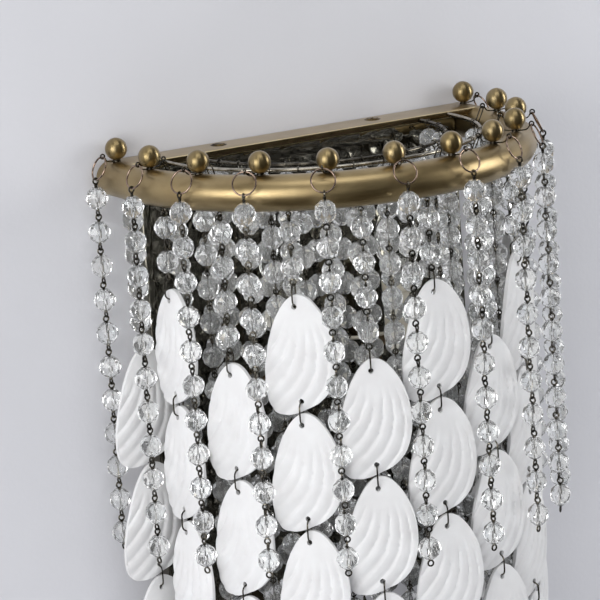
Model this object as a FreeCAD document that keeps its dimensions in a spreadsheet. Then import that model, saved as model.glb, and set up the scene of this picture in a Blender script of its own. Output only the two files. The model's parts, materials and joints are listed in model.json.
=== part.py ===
import FreeCAD, Part
import Sketcher
import math
import os

# Crystal wall sconce: a U-shaped brass tube on a flat wall bar carries twelve ball finials,
# twelve outer strands of faceted beads, eleven columns of ribbed porcelain shells and an
# inner curtain of bead strands round two lamps on a polished back box.
# Frame: origin on the wall between the two wall bolts, +X right, +Y into the wall, +Z up.

Vector = FreeCAD.Vector
Rotation = FreeCAD.Rotation
Placement = FreeCAD.Placement

SIZES = [
    # Rim tube
    ("tube_dia", 25.4, "outside diameter of the rim tube"),
    ("tube_wall", 1.5, "wall of the rim tube"),
    ("rim_radius", 146.5, "radius of the rim's half circle, on the tube's centreline"),
    ("rim_leg", 36.1, "straight leg from the half circle to the wall"),
    ("end_cap_thick", 1.5, "disc that closes each end of the tube"),
    # Ball finials
    ("ball_dia", 15.8, "ball finial"),
    ("ball_level", 34.0, "ball centres above the wall bolts"),
    ("ball_margin", 9.0, "wall to the first ball, along the rim"),
    ("ball_count", 12, "ball finials on the rim"),
    ("stud_dia", 3.0, "threaded stud that holds a ball"),
    ("stud_grip", 6.0, "length of stud inside the ball"),
    ("stud_tail", 5.0, "length of stud below the rim's crest"),
    ("fit_gap", 0.15, "radial clearance of a stud, shank or screw in its hole"),
    # Wire work
    ("wire_dia", 1.0, "wire of hooks, rings, loops and links"),
    ("pin_dia", 0.9, "shank of an eye pin"),
    ("wire_play", 0.2, "space between two wires that hang in each other"),
    ("hook_disc_dia", 6.2, "coil of the hook wire round the stud"),
    ("hook_reach", 11.8, "stud axis to the eye of the hook wire"),
    ("hook_eye_radius", 1.6, "eye of a hook, on the wire's centreline"),
    ("hook_eye_drop", 3.8, "eye centre below the ball centre"),
    ("ring_radius", 8.3, "ring under each ball, on the wire's centreline"),
    ("loop_radius", 2.05, "loop of an eye pin, on the wire's centreline"),
    # Faceted beads
    ("bead_dia", 16.0, "faceted bead, across the girdle"),
    ("bead_height", 15.0, "faceted bead, along its bore"),
    ("bead_table_dia", 6.8, "flat at each end of a bead"),
    ("bead_bore", 1.6, "bore of a bead"),
    ("bead_pitch", 24.4, "bead to bead along a strand"),
    ("bead_sides", 8, "facets round a bead"),
    ("strand_beads", 11, "beads in an outer strand"),
    ("strand_neck_extra", 1.6, "extra pin length between ring and first bead"),
    # Shell columns
    ("column_margin", 17.95, "wall to the first column, along the rim, before its shift"),
    ("end_column_shift", 8.5, "first and last column moved away from the wall"),
    ("column_count", 11, "shell columns under the rim"),
    ("column_neck_trim", 0.6, "pin length saved above the first lead bead"),
    ("column_shank", 4.0, "shank of a column's eye inside the tube"),
    ("shank_dia", 2.0, "shank of a column's eye"),
    ("low_lead_beads", 4, "lead beads of the first, third and every other column"),
    ("high_lead_beads", 2, "lead beads of the columns between them"),
    ("column_shells", 4, "shells in a column"),
    ("shell_width", 53.0, "shell across its widest place"),
    ("shell_height", 86.4, "shell from its tip to its lowest point"),
    ("shell_thick", 2.8, "wall of the shell"),
    ("shell_hole_span", 67.0, "upper hole to lower hole of a shell"),
    ("shell_hole_dia", 3.8, "hole of a shell"),
    ("shell_bulge_radius", 95.0, "curve of the shell's face across"),
    ("shell_bow_radius", 240.0, "curve of the shell's face along"),
    ("link_length", 17.0, "oval wire link, between its end points"),
    ("link_bend_radius", 2.5, "end bends of the oval wire link"),
    ("shell_link_length", 15.0, "wire link of the shells, between its end points"),
    ("shell_link_bend", 4.0, "end bends of the shells' link, clear of their edges"),
    ("hole_play", 0.4, "link's wire to the rim of a shell's hole"),
    # Inner curtain
    ("hoop_dia", 3.0, "wire of the two inner hoops"),
    ("front_hoop_inset", 27.0, "front hoop inside the rim's centreline"),
    ("front_hoop_drop", 11.0, "front hoop below the ball centres"),
    ("back_hoop_inset", 52.0, "back hoop inside the rim's centreline"),
    ("back_hoop_drop", 12.0, "back hoop below the ball centres"),
    ("hoop_loop_radius", 2.6, "loop of a strand round a hoop"),
    ("hoop_play", 0.1, "space between a hoop and the loop on it"),
    ("back_strand_pitch", 17.5, "strand to strand on the back hoop"),
    ("back_strand_margin", 12.0, "wall bar to the first strand on the back hoop"),
    ("curtain_beads", 16, "beads in a curtain strand"),
    # Wall bar
    ("bar_depth", 28.7, "wall bar from the wall to its front edge"),
    ("bar_thick", 5.0, "wall bar"),
    ("bar_end_gap", 0.1, "braze gap between the bar and the tube"),
    ("bar_screw_spread", 130.0, "screw to screw on the bar"),
    ("bar_screw_inset", 11.0, "wall to the screws of the bar"),
    ("bar_screw_head", 11.6, "head of a bar screw"),
    ("bar_screw_dia", 5.0, "shank of a bar screw"),
    ("bar_screw_length", 14.0, "bar screw from head to end"),
    ("bar_screw_slot", 1.4, "slot of a bar screw, across"),
    ("bar_slot_depth", 1.2, "slot of a bar screw, down"),
    ("spacer_thick", 1.5, "washer between bar and back box"),
    ("spacer_dia", 10.0, "washer between bar and back box"),
    ("bar_nut_width", 8.0, "square nut under the box's top"),
    ("bar_nut_thick", 4.0, "square nut under the box's top"),
    # Back box
    ("box_side_gap", 0.8, "back box to the rim's legs"),
    ("box_height", 340.0, "back box"),
    ("box_depth", 16.0, "back box"),
    ("box_sheet", 1.0, "polished sheet of the back box"),
    ("cable_hole_dia", 12.0, "hole for the lamp leads in the box's front"),
    ("cable_hole_drop", 122.0, "hole for the lamp leads below the wall bolts"),
    ("grommet_lip", 1.5, "lip of the rubber grommet"),
    ("grommet_bore", 7.0, "bore of the rubber grommet"),
    # Wall bracket
    ("bracket_length", 260.0, "wall bracket"),
    ("bracket_height", 30.0, "wall bracket"),
    ("bracket_thick", 3.0, "wall bracket"),
    ("wall_bolt_spread", 160.0, "wall bolt to wall bolt"),
    ("wall_bolt_dia", 5.0, "hole for a wall bolt"),
    ("box_stud_spread", 246.0, "stud to stud of the back box"),
    ("box_stud_rise", 7.0, "studs of the back box above the wall bolts"),
    ("box_stud_dia", 4.0, "stud of the back box"),
    ("dome_nut_dia", 8.0, "dome nut on a stud of the back box"),
    ("dome_nut_length", 6.0, "dome nut on a stud of the back box"),
    ("dome_nut_grip", 3.5, "thread of a dome nut on its stud"),
    # Lamps
    ("lamp_spread", 96.0, "lamp to lamp"),
    ("lamp_out", 62.0, "wall to the lamps' axes"),
    ("lamp_seat_drop", 132.0, "lamp holders' feet below the wall bolts"),
    ("arm_width", 16.0, "lamp arm"),
    ("arm_thick", 2.0, "lamp arm"),
    ("arm_tab", 24.0, "upright tab of a lamp arm on the back box"),
    ("arm_nose", 10.0, "lamp arm beyond the lamp's axis"),
    ("arm_screw_dia", 4.0, "screw of a lamp arm"),
    ("arm_screw_head", 7.0, "head of a lamp arm's screw"),
    ("arm_head_thick", 2.4, "head of a lamp arm's screw"),
    ("arm_nut_dia", 7.0, "nut of a lamp arm's screw"),
    ("arm_nut_thick", 3.0, "nut of a lamp arm's screw"),
    ("holder_dia", 26.0, "lamp holder"),
    ("holder_height", 48.0, "lamp holder"),
    ("holder_floor", 22.0, "solid foot of the lamp holder"),
    ("cap_dia", 14.0, "screw cap of the bulb"),
    ("cap_height", 26.0, "screw cap of the bulb"),
    ("cap_gap", 0.3, "radial clearance of the cap in its holder"),
    ("bulb_dia", 35.0, "bulb glass"),
    ("bulb_height", 74.0, "bulb glass above its cap"),
    ("bulb_neck_dia", 13.0, "bulb glass at its cap"),
    # Wiring
    ("block_length", 30.0, "terminal block"),
    ("block_height", 18.0, "terminal block"),
    ("block_depth", 12.0, "terminal block"),
    ("block_drop", 62.0, "terminal block below the wall bolts"),
    ("block_screw_dia", 4.0, "screw holes in the terminal block's face"),
    ("block_screw_depth", 3.0, "screw holes in the terminal block's face"),
    ("block_screw_pitch", 9.0, "screw hole to screw hole of the terminal block"),
    ("lead_dia", 2.6, "lamp lead"),
    ("lead_back", 5.0, "wall to a lead's axis behind the box's front"),
    ("lead_bend", 7.0, "bend of a lead into the grommet"),
    ("lead_sweep", 20.0, "bend of a lead towards its lamp"),
    ("lead_apart", 3.4, "lead to lead in the grommet"),
    ("earth_screw_dia", 4.0, "earth screw"),
    ("earth_screw_head", 8.0, "head of the earth screw"),
    ("earth_head_thick", 2.4, "head of the earth screw"),
    ("earth_screw_side", 40.0, "earth screw right of the middle"),
]

# How far each outer strand hangs to one side of its ball, as a share of the hook's reach
STRAND_SIDE_SHARES = [0.12, 0.18, -0.34, -0.63, -0.41, 0.07, 0.19, 0.16, 0.05, 0.0, 0.08, -0.06]

# How far each column is turned about its own line, in degrees: the end ones face the front
COLUMN_TURNS = [92.0, -9.0, -10.0, -10.0, -10.0, -9.0, -11.0, -10.0, -9.0, -10.0, -92.0]

# Outline of a shell seen from outside, from its upper hole: shares of its width and height
SHELL_OUTLINE_SHARES = [
    (0.035, 0.103),
    (0.165, 0.078),
    (0.285, 0.005),
    (0.40, -0.112),
    (0.475, -0.244),
    (0.505, -0.390),
    (0.485, -0.546),
    (0.40, -0.692),
    (0.25, -0.789),
    (0.05, -0.853),
    (-0.16, -0.894),
    (-0.345, -0.891),
    (-0.455, -0.818),
    (-0.495, -0.682),
    (-0.475, -0.497),
    (-0.405, -0.302),
    (-0.315, -0.136),
    (-0.20, -0.005),
    (-0.08, 0.076),
]

# A bead's girdle and the crown line above it, as shares of its half width and half height
CROWN_RADIUS_SHARE = 0.86
CROWN_HEIGHT_SHARE = 0.52
STRING_CROWN_RADIUS_SHARE = 0.98
STRING_CROWN_HEIGHT_SHARE = 0.30
# Widest place of the bulb, as a share of its height, and its width near the tip
BULB_BELLY_SHARE = 0.34
BULB_TIP_SHARE = 0.42

RING_TILT = 25.0
LINK_TILT = 25.0
HEAD_ANGLE = 45.0

doc = FreeCAD.newDocument("crystal_wall_sconce")
sheet = doc.addObject("Spreadsheet::Sheet", "Sizes")
for row, (alias, value, note) in enumerate(SIZES, start=1):
    sheet.set("A%d" % row, str(value))
    sheet.set("B%d" % row, note)
    sheet.setAlias("A%d" % row, alias)
doc.recompute()


class Sizes:
    """The sheet's values, read by name."""

    def __getattr__(self, alias):
        return float(sheet.get(alias))


size = Sizes()
subparts = []


# Sub-parts and their placements


def piece(label, shape, placement=None):
    made = doc.addObject("Part::Feature", label)
    made.Label = label
    made.Shape = shape
    if placement is not None:
        made.Placement = placement
    subparts.append(made)
    return made


def bound(kind, name, **expressions):
    made = doc.addObject(kind, name)
    for prop, expression in expressions.items():
        made.setExpression(prop.replace("_", "."), expression)
    return made


def boolean(kind, name, base, tool):
    made = doc.addObject(kind, name)
    made.Base = base
    made.Tool = tool
    return made


def finished(label, made):
    made.Label = label
    subparts.append(made)
    return made


def group(shapes):
    return Part.makeCompound(shapes)


def at(shape, placement):
    moved = shape.copy()
    moved.Placement = placement.multiply(moved.Placement)
    return moved


def shifted(shape, x=0.0, y=0.0, z=0.0):
    return at(shape, Placement(Vector(x, y, z), Rotation()))


# The rim's path, its inner copies and the places on them


def path_length(radius, leg):
    return 2 * leg + math.pi * radius


def place_on_path(radius, leg, run, level, inset=0.0, aside=0.0):
    """Local +X points out of the rim, local +Y runs to the right of who looks at it."""
    whole = path_length(radius, leg)
    if run < leg:
        spot, turn = Vector(-radius, -run, level), 180.0
    elif run > whole - leg:
        spot, turn = Vector(radius, run - whole, level), 360.0
    else:
        bend = (run - leg) / radius
        spot = Vector(-radius * math.cos(bend), -leg - radius * math.sin(bend), level)
        turn = 180.0 + math.degrees(bend)
    turned = Rotation(Vector(0, 0, 1), turn)
    return Placement(spot + turned.multVec(Vector(-inset, aside, 0)), turned)


def path_wire(radius, leg, start, level):
    left = Part.LineSegment(Vector(-radius, start, level), Vector(-radius, -leg, level))
    front = Part.Arc(
        Vector(-radius, -leg, level), Vector(0, -leg - radius, level), Vector(radius, -leg, level)
    )
    right = Part.LineSegment(Vector(radius, -leg, level), Vector(radius, start, level))
    return Part.Wire([left.toShape(), front.toShape(), right.toShape()])


def tube_along(wire, outer, start, bore=0.0):
    circle = Part.Circle(start, Vector(0, 1, 0), outer / 2)
    tube = Part.Wire(wire.Edges).makePipeShell([Part.Wire(circle.toShape())], True, False)
    if bore:
        tube = tube.cut(tube_along(wire, bore, start))
    return tube


rim_length = path_length(size.rim_radius, size.rim_leg)
tube_radius = size.tube_dia / 2
crest_level = size.ball_level - size.ball_dia / 2 - size.wire_dia
tube_level = crest_level - tube_radius
underside_level = tube_level - tube_radius
ball_pitch = (rim_length - 2 * size.ball_margin) / (size.ball_count - 1)
column_pitch = (rim_length - 2 * size.column_margin) / (size.column_count - 1)


def on_rim(run, level, inset=0.0, aside=0.0):
    return place_on_path(size.rim_radius, size.rim_leg, run, level, inset, aside)


def ball_runs():
    return [size.ball_margin + k * ball_pitch for k in range(int(size.ball_count))]


def column_runs():
    runs = [size.column_margin + k * column_pitch for k in range(int(size.column_count))]
    runs[0] += size.end_column_shift
    runs[-1] -= size.end_column_shift
    return runs


def column_place(k, level):
    """Under the rim, with the column's own turn about its line."""
    turn = COLUMN_TURNS[k % len(COLUMN_TURNS)]
    turned = Placement(Vector(0, 0, 0), Rotation(Vector(0, 0, 1), turn))
    return on_rim(column_runs()[k], level).multiply(turned)


# Wire pieces, made about their own origin

wire_radius = size.wire_dia / 2
hang = size.wire_dia + size.wire_play


def flat_loop(radius, along):
    """A loop of coiled wire: radius on its centreline, along its axis."""
    half = Vector(along).multiply(wire_radius)
    outer = Part.makeCylinder(radius + wire_radius, size.wire_dia, -half, along)
    inner = Part.makeCylinder(radius - wire_radius, size.wire_dia, -half, along)
    return outer.cut(inner)


def oval_link(length, bend):
    """A closed link in the plane of X and Z, its upper wire's centre at the origin."""
    top = Part.Arc(Vector(-bend, 0, -bend), Vector(0, 0, 0), Vector(bend, 0, -bend))
    low = -length + bend
    right = Part.LineSegment(Vector(bend, 0, -bend), Vector(bend, 0, low))
    bottom = Part.Arc(Vector(bend, 0, low), Vector(0, 0, -length), Vector(-bend, 0, low))
    left = Part.LineSegment(Vector(-bend, 0, low), Vector(-bend, 0, -bend))
    wire = Part.Wire([edge.toShape() for edge in (top, right, bottom, left)])
    circle = Part.Circle(Vector(-bend, 0, -bend), Vector(0, 0, 1), wire_radius)
    return wire.makePipeShell([Part.Wire(circle.toShape())], True, False)


neck = (
    size.bead_pitch - size.bead_height - 2 * size.loop_radius + hang
) / 2


def eye_pin(extra=0.0):
    """An eye pin through one bead whose centre is the origin, with a longer neck above by extra."""
    top = size.bead_height / 2 + neck + extra
    bottom = size.bead_height / 2 + neck
    shank = Part.makeCylinder(
        size.pin_dia / 2,
        top + bottom - 2 * size.loop_radius,
        Vector(0, 0, -bottom + size.loop_radius),
    )
    upper = shifted(flat_loop(size.loop_radius, Vector(0, 1, 0)), z=top)
    lower = shifted(flat_loop(size.loop_radius, Vector(1, 0, 0)), z=-bottom)
    return shank.fuse([upper, lower])


def bead_below_wire(extra=0.0):
    """Distance from the wire that a pin hangs on down to the centre of the pin's bead."""
    return -hang + size.loop_radius + neck + extra + size.bead_height / 2


# Faceted beads


def ring_of_points(radius, level):
    sides = int(size.bead_sides)
    return [
        Vector(
            radius * math.cos(2 * math.pi * k / sides),
            radius * math.sin(2 * math.pi * k / sides),
            level,
        )
        for k in range(sides)
    ]


def faceted_bead():
    half = size.bead_height / 2
    girdle = size.bead_dia / 2
    table = size.bead_table_dia / 2
    crown = girdle * CROWN_RADIUS_SHARE
    crown_level = half * CROWN_HEIGHT_SHARE
    profile = [(table, -half), (crown, -crown_level), (girdle, 0.0), (crown, crown_level), (table, half)]
    rings = [ring_of_points(radius, level) for radius, level in profile]
    faces = [Part.Face(Part.makePolygon(rings[0] + rings[0][:1]))]
    faces.append(Part.Face(Part.makePolygon(rings[-1] + rings[-1][:1])))
    for lower, upper in zip(rings, rings[1:]):
        for k in range(len(lower)):
            after = (k + 1) % len(lower)
            corners = [lower[k], lower[after], upper[after], upper[k], lower[k]]
            faces.append(Part.Face(Part.makePolygon(corners)))
    solid = Part.makeSolid(Part.makeShell(faces))
    if solid.Volume < 0:
        solid.reverse()
    bore = Part.makeCylinder(size.bead_bore / 2, size.bead_height, Vector(0, 0, -half))
    return solid.cut(bore)


def bead_string(loop_radius, support_radius, play):
    """A curtain strand as one solid: beads on their wire under a loop, from its support's centre."""
    loop_centre = support_radius + play + wire_radius - loop_radius
    first = loop_centre - loop_radius - wire_radius - neck / 2 - size.bead_height / 2
    half = size.bead_height / 2
    table = size.bead_table_dia / 2
    girdle = size.bead_dia / 2
    crown = girdle * STRING_CROWN_RADIUS_SHARE
    crown_level = half * STRING_CROWN_HEIGHT_SHARE
    start = loop_centre - loop_radius
    points = [Vector(0, 0, start), Vector(wire_radius, 0, start)]
    for k in range(int(size.curtain_beads)):
        centre = first - k * size.bead_pitch
        points.append(Vector(wire_radius, 0, centre + half))
        points.append(Vector(table, 0, centre + half))
        points.append(Vector(crown, 0, centre + crown_level))
        points.append(Vector(crown, 0, centre - crown_level))
        points.append(Vector(table, 0, centre - half))
        points.append(Vector(wire_radius, 0, centre - half))
    end = first - (size.curtain_beads - 1) * size.bead_pitch - half - neck
    points.append(Vector(wire_radius, 0, end))
    points.append(Vector(0, 0, end))
    profile = Part.Face(Part.makePolygon(points + points[:1]))
    string = profile.revolve(Vector(0, 0, 0), Vector(0, 0, 1), 360)
    return string.fuse(shifted(flat_loop(loop_radius, Vector(0, 1, 0)), z=loop_centre))


bead = faceted_bead()


# Rim tube with welded end discs and holes for the studs above and the column eyes below

pipe = tube_along(
    path_wire(size.rim_radius, size.rim_leg, -size.end_cap_thick, tube_level),
    size.tube_dia,
    Vector(-size.rim_radius, -size.end_cap_thick, tube_level),
    size.tube_dia - 2 * size.tube_wall,
)
stud_hole = Part.makeCylinder(size.stud_dia / 2 + size.fit_gap, tube_radius)
shank_hole = Part.makeCylinder(
    size.shank_dia / 2 + size.fit_gap, tube_radius, Vector(0, 0, -tube_radius)
)
drills = [at(stud_hole, on_rim(run, tube_level)) for run in ball_runs()]
drills += [at(shank_hole, on_rim(run, tube_level)) for run in column_runs()]
caps = []
for side in (-1, 1):
    spot = Vector(side * size.rim_radius, -size.end_cap_thick, tube_level)
    caps.append(Part.makeCylinder(tube_radius, size.end_cap_thick, spot, Vector(0, 1, 0)))
piece("rim_tube", pipe.cut(drills).fuse(caps))


# Ball finials, their studs and the hook wires between ball and rim

ball = Part.makeSphere(size.ball_dia / 2)
ball_bore = Part.makeCylinder(
    size.stud_dia / 2 + size.fit_gap,
    size.stud_grip + size.fit_gap,
    Vector(0, 0, -size.ball_dia / 2),
)
ball = ball.cut(ball_bore)
stud = Part.makeCylinder(
    size.stud_dia / 2,
    size.stud_grip + size.wire_dia + size.stud_tail,
    Vector(0, 0, -size.ball_dia / 2 - size.wire_dia - size.stud_tail),
)
ball_places = [on_rim(run, size.ball_level) for run in ball_runs()]
piece("finial_balls", group([at(ball, place) for place in ball_places]))
piece("finial_studs", group([at(stud, place) for place in ball_places]))

disc_level = -size.ball_dia / 2 - size.wire_dia
eye_level = -size.hook_eye_drop
support_level = eye_level - size.hook_eye_radius
ring_level = support_level + hang


def hook_arm(reach, aside):
    """Wire from the disc round the stud up to an eye at reach and aside."""
    direction = Vector(reach, aside, 0)
    direction.normalize()
    disc_radius = size.hook_disc_dia / 2
    start = direction * (disc_radius - wire_radius)
    start.z = disc_level + wire_radius
    slope = math.sqrt(0.5) * size.hook_eye_radius
    side = math.copysign(1.0, reach)
    end = Vector(reach - side * slope, aside, eye_level - slope)
    run = end - start
    arm = Part.makeCylinder(wire_radius, run.Length, start, run)
    eye = shifted(flat_loop(size.hook_eye_radius, Vector(0, 1, 0)), reach, aside, eye_level)
    return [arm, eye]


def hook_wire(share, inner):
    disc = Part.makeCylinder(size.hook_disc_dia / 2, size.wire_dia, Vector(0, 0, disc_level))
    arms = hook_arm(size.hook_reach, share * size.hook_reach)
    if inner:
        arms += hook_arm(-size.hook_reach, 0.0)
    bore = Part.makeCylinder(
        size.stud_dia / 2 + size.fit_gap, size.wire_dia, Vector(0, 0, disc_level)
    )
    return disc.fuse(arms).cut(bore)


def has_inner_strand(k):
    """The first and last ball stand over the wall bar, where no inner strand fits."""
    return 0 < k < len(ball_places) - 1


def side_share(k):
    return STRAND_SIDE_SHARES[k % len(STRAND_SIDE_SHARES)]


hooks = [
    at(hook_wire(side_share(k), has_inner_strand(k)), place)
    for k, place in enumerate(ball_places)
]
piece("hook_wires", group(hooks))


# Outer strands: a ring, faceted beads and their eye pins, one sub-part each


def tilted_ring():
    ring = Part.makeTorus(
        size.ring_radius, wire_radius, Vector(0, 0, -size.ring_radius), Vector(1, 0, 0)
    )
    return at(ring, Placement(Vector(0, 0, 0), Rotation(Vector(0, 1, 0), -RING_TILT)))


def outer_strand():
    """From the top of the ring's wire, hanging outwards of the rim."""
    across = 2 * size.ring_radius * math.sin(math.radians(RING_TILT))
    down = 2 * size.ring_radius * math.cos(math.radians(RING_TILT))
    solids = [tilted_ring()]
    centre = -down - bead_below_wire(size.strand_neck_extra)
    for k in range(int(size.strand_beads)):
        pin = eye_pin(size.strand_neck_extra if k == 0 else 0.0)
        solids.append(shifted(bead, across, 0, centre))
        solids.append(shifted(pin, across, 0, centre))
        centre -= size.bead_pitch
    return group(solids)


strand = outer_strand()
for k, run in enumerate(ball_runs()):
    aside = side_share(k) * size.hook_reach
    hanger = on_rim(run, size.ball_level + ring_level, -size.hook_reach, aside)
    piece("strand_%02d" % (k + 1), strand, hanger)
    print("strand hinge", k + 1, [round(c, 4) for c in hanger.Base], hanger.Rotation.Angle)


# Porcelain shells


def shell_solid():
    """Seen from local +X, its upper hole at the origin, dished behind and full in front."""
    points = [
        Vector(0, across * size.shell_width, up * size.shell_height)
        for across, up in SHELL_OUTLINE_SHARES
    ]
    outline = Part.BSplineCurve()
    outline.interpolate(points, PeriodicFlag=True)
    depth = 2 * size.shell_width
    slab = Part.Face(Part.Wire(outline.toShape())).extrude(Vector(depth, 0, 0))
    slab.translate(Vector(-depth / 2, 0, 0))
    middle = -size.shell_hole_span / 2
    sweep = size.shell_bow_radius - size.shell_bulge_radius
    drop = size.shell_bow_radius - math.sqrt(size.shell_bow_radius**2 - middle**2)
    face = size.shell_thick / 2 + drop
    centre = Vector(face - size.shell_bow_radius, 0, middle)
    full = Part.makeTorus(sweep, size.shell_bulge_radius, centre, Vector(0, 1, 0))
    hollow = Part.makeTorus(
        sweep, size.shell_bulge_radius - size.shell_thick, centre, Vector(0, 1, 0)
    )
    wall = slab.common(full).cut(hollow)
    front = max(wall.Solids, key=lambda solid: solid.CenterOfMass.x)
    bores = []
    for level in (0.0, -size.shell_hole_span):
        start = Vector(-depth / 2, 0, level)
        bores.append(Part.makeCylinder(size.shell_hole_dia / 2, depth, start, Vector(1, 0, 0)))
    return front.cut(bores)


shell = shell_solid()
hole_drop = size.shell_hole_dia / 2 - wire_radius - size.hole_play
shell_pitch = size.shell_hole_span + size.shell_link_length + 2 * hole_drop
column_eye_radius = size.hook_eye_radius
column_eye_level = -wire_radius - column_eye_radius
column_wire_level = column_eye_level - column_eye_radius


def column_eye():
    """Screw eye whose shank stands in the tube's underside, from the underside's level."""
    shank = Part.makeCylinder(
        size.shank_dia / 2,
        size.column_shank + wire_radius,
        Vector(0, 0, -wire_radius),
    )
    return shank.fuse(shifted(flat_loop(column_eye_radius, Vector(1, 0, 0)), z=column_eye_level))


eyes = [at(column_eye(), column_place(k, underside_level)) for k in range(int(size.column_count))]
piece("column_eyes", group(eyes))


def lead_centres(lead):
    """Bead centres of a column's lead, from the eye wire that it hangs on."""
    first = -bead_below_wire(-size.column_neck_trim)
    return [first - k * size.bead_pitch for k in range(lead)]


def first_link(lead):
    """Level of the upper wire of the link under the last lead bead."""
    return lead_centres(lead)[-1] - size.bead_height / 2 - neck - size.loop_radius + hang


def first_hole(lead):
    return first_link(lead) - size.shell_link_length - hole_drop


def column_lead(lead):
    """Lead beads with their pins, and the oval links down to the last shell."""
    solids = []
    for k, centre in enumerate(lead_centres(lead)):
        pin = eye_pin(-size.column_neck_trim if k == 0 else 0.0)
        solids.append(shifted(bead, 0, 0, centre))
        solids.append(shifted(pin, 0, 0, centre))
    link = oval_link(size.shell_link_length, size.shell_link_bend)
    for k in range(int(size.column_shells)):
        solids.append(shifted(link, 0, 0, first_link(lead) - k * shell_pitch))
    return group(solids)


def column_shells(lead):
    top = first_hole(lead)
    return group([shifted(shell, 0, 0, top - k * shell_pitch) for k in range(int(size.column_shells))])


low, high = int(size.low_lead_beads), int(size.high_lead_beads)
leads = {lead: column_lead(lead) for lead in (low, high)}
shells = {lead: column_shells(lead) for lead in (low, high)}
for k in range(int(size.column_count)):
    lead = low if k % 2 == 0 else high
    hanger = column_place(k, underside_level + column_wire_level)
    piece("column_%02d_lead" % (k + 1), leads[lead], hanger)
    piece("column_%02d_shells" % (k + 1), shells[lead], hanger)
    print("column hinge", k + 1, [round(c, 4) for c in hanger.Base], hanger.Rotation.Angle)


# Inner curtain: strands under the balls' inner eyes and on two hoops

link_across = size.link_length * math.sin(math.radians(LINK_TILT))
link_down = size.link_length * math.cos(math.radians(LINK_TILT))
link_turn = Rotation(Vector(0, 1, 0), LINK_TILT).multiply(Rotation(Vector(0, 0, 1), 90))
inner_link = at(oval_link(size.link_length, size.link_bend_radius), Placement(Vector(0, 0, 0), link_turn))
inner_string = bead_string(size.loop_radius, wire_radius, size.wire_play)
inner_runs = [run for k, run in enumerate(ball_runs()) if has_inner_strand(k)]
inner_links = []
inner_strands = []
for run in inner_runs:
    top_level = size.ball_level + ring_level
    inner_links.append(at(inner_link, on_rim(run, top_level, size.hook_reach)))
    foot = on_rim(run, top_level - link_down, size.hook_reach + link_across)
    inner_strands.append(at(inner_string, foot))
piece("inner_links", group(inner_links))
piece("inner_strands", group(inner_strands))

hoop_string = bead_string(size.hoop_loop_radius, size.hoop_dia / 2, size.hoop_play)


def hoop(inset, drop):
    radius = size.rim_radius - inset
    level = size.ball_level - drop
    wire = path_wire(radius, size.rim_leg, -size.bar_depth, level)
    return tube_along(wire, size.hoop_dia, Vector(-radius, -size.bar_depth, level))


front_hoop = hoop(size.front_hoop_inset, size.front_hoop_drop)
back_hoop = hoop(size.back_hoop_inset, size.back_hoop_drop)
piece("inner_hoops", group([front_hoop, back_hoop]))

# The front hoop's strands hang between the balls, save beside the wall bar
front_level = size.ball_level - size.front_hoop_drop
between = [run + ball_pitch / 2 for run in ball_runs()[1:-2]]
front_strands = [at(hoop_string, on_rim(run, front_level, size.front_hoop_inset)) for run in between]

back_radius = size.rim_radius - size.back_hoop_inset
back_level = size.ball_level - size.back_hoop_drop
back_start = size.bar_depth + size.back_strand_margin
back_span = path_length(back_radius, size.rim_leg) - 2 * back_start
back_gaps = int(back_span / size.back_strand_pitch)
back_strands = []
for k in range(back_gaps + 1):
    run = back_start + k * back_span / back_gaps
    spot = place_on_path(back_radius, size.rim_leg, run, back_level)
    back_strands.append(at(hoop_string, spot))
piece("hoop_strands", group(front_strands + back_strands))


# Wall bar between the rim's legs, with its screws, washers and nuts

bar_low = crest_level - size.bar_thick
bar = Part.makeBox(
    2 * size.rim_radius,
    size.bar_depth,
    size.bar_thick,
    Vector(-size.rim_radius, -size.bar_depth, bar_low),
)
for side in (-1, 1):
    leg_end = Vector(side * size.rim_radius, -size.bar_depth, tube_level)
    bar = bar.cut(
        Part.makeCylinder(tube_radius + size.bar_end_gap, size.bar_depth, leg_end, Vector(0, 1, 0))
    )
head_height = (size.bar_screw_head - size.bar_screw_dia) / 2 * math.tan(math.radians(HEAD_ANGLE))


def bar_screw(gap):
    """Countersunk screw, its head flush with the bar's top, or the hole for it at a gap."""
    shank_radius = size.bar_screw_dia / 2 + gap
    head_radius = size.bar_screw_head / 2 + gap
    head = Part.makeCone(shank_radius, head_radius, head_height, Vector(0, 0, -head_height))
    shank = Part.makeCylinder(
        shank_radius, size.bar_screw_length, Vector(0, 0, -size.bar_screw_length)
    )
    return head.fuse(shank)


slot = Part.makeBox(
    size.bar_screw_head,
    size.bar_screw_slot,
    size.bar_slot_depth,
    Vector(-size.bar_screw_head / 2, -size.bar_screw_slot / 2, -size.bar_slot_depth),
)
screw_spots = [
    Placement(Vector(side * size.bar_screw_spread / 2, -size.bar_screw_inset, crest_level), Rotation())
    for side in (-1, 1)
]
piece("wall_bar", bar.cut([at(bar_screw(size.fit_gap), spot) for spot in screw_spots]))
piece("bar_screws", group([at(bar_screw(0.0).cut(slot), spot) for spot in screw_spots]))

through = Part.makeCylinder(
    size.bar_screw_dia / 2 + size.fit_gap, size.bar_screw_length, Vector(0, 0, -size.bar_screw_length)
)
spacer = Part.makeCylinder(
    size.spacer_dia / 2, size.spacer_thick, Vector(0, 0, -size.bar_thick - size.spacer_thick)
).cut(through)
piece("bar_washers", group([at(spacer, spot) for spot in screw_spots]))

box_top = bar_low - size.spacer_thick
nut_top = box_top - size.box_sheet - crest_level
nut = Part.makeBox(
    size.bar_nut_width,
    size.bar_nut_width,
    size.bar_nut_thick,
    Vector(-size.bar_nut_width / 2, -size.bar_nut_width / 2, nut_top - size.bar_nut_thick),
).cut(through)
bar_nuts = [at(nut, spot) for spot in screw_spots]


# Back box: an open tray of polished sheet, bound to the sheet's cells

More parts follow.
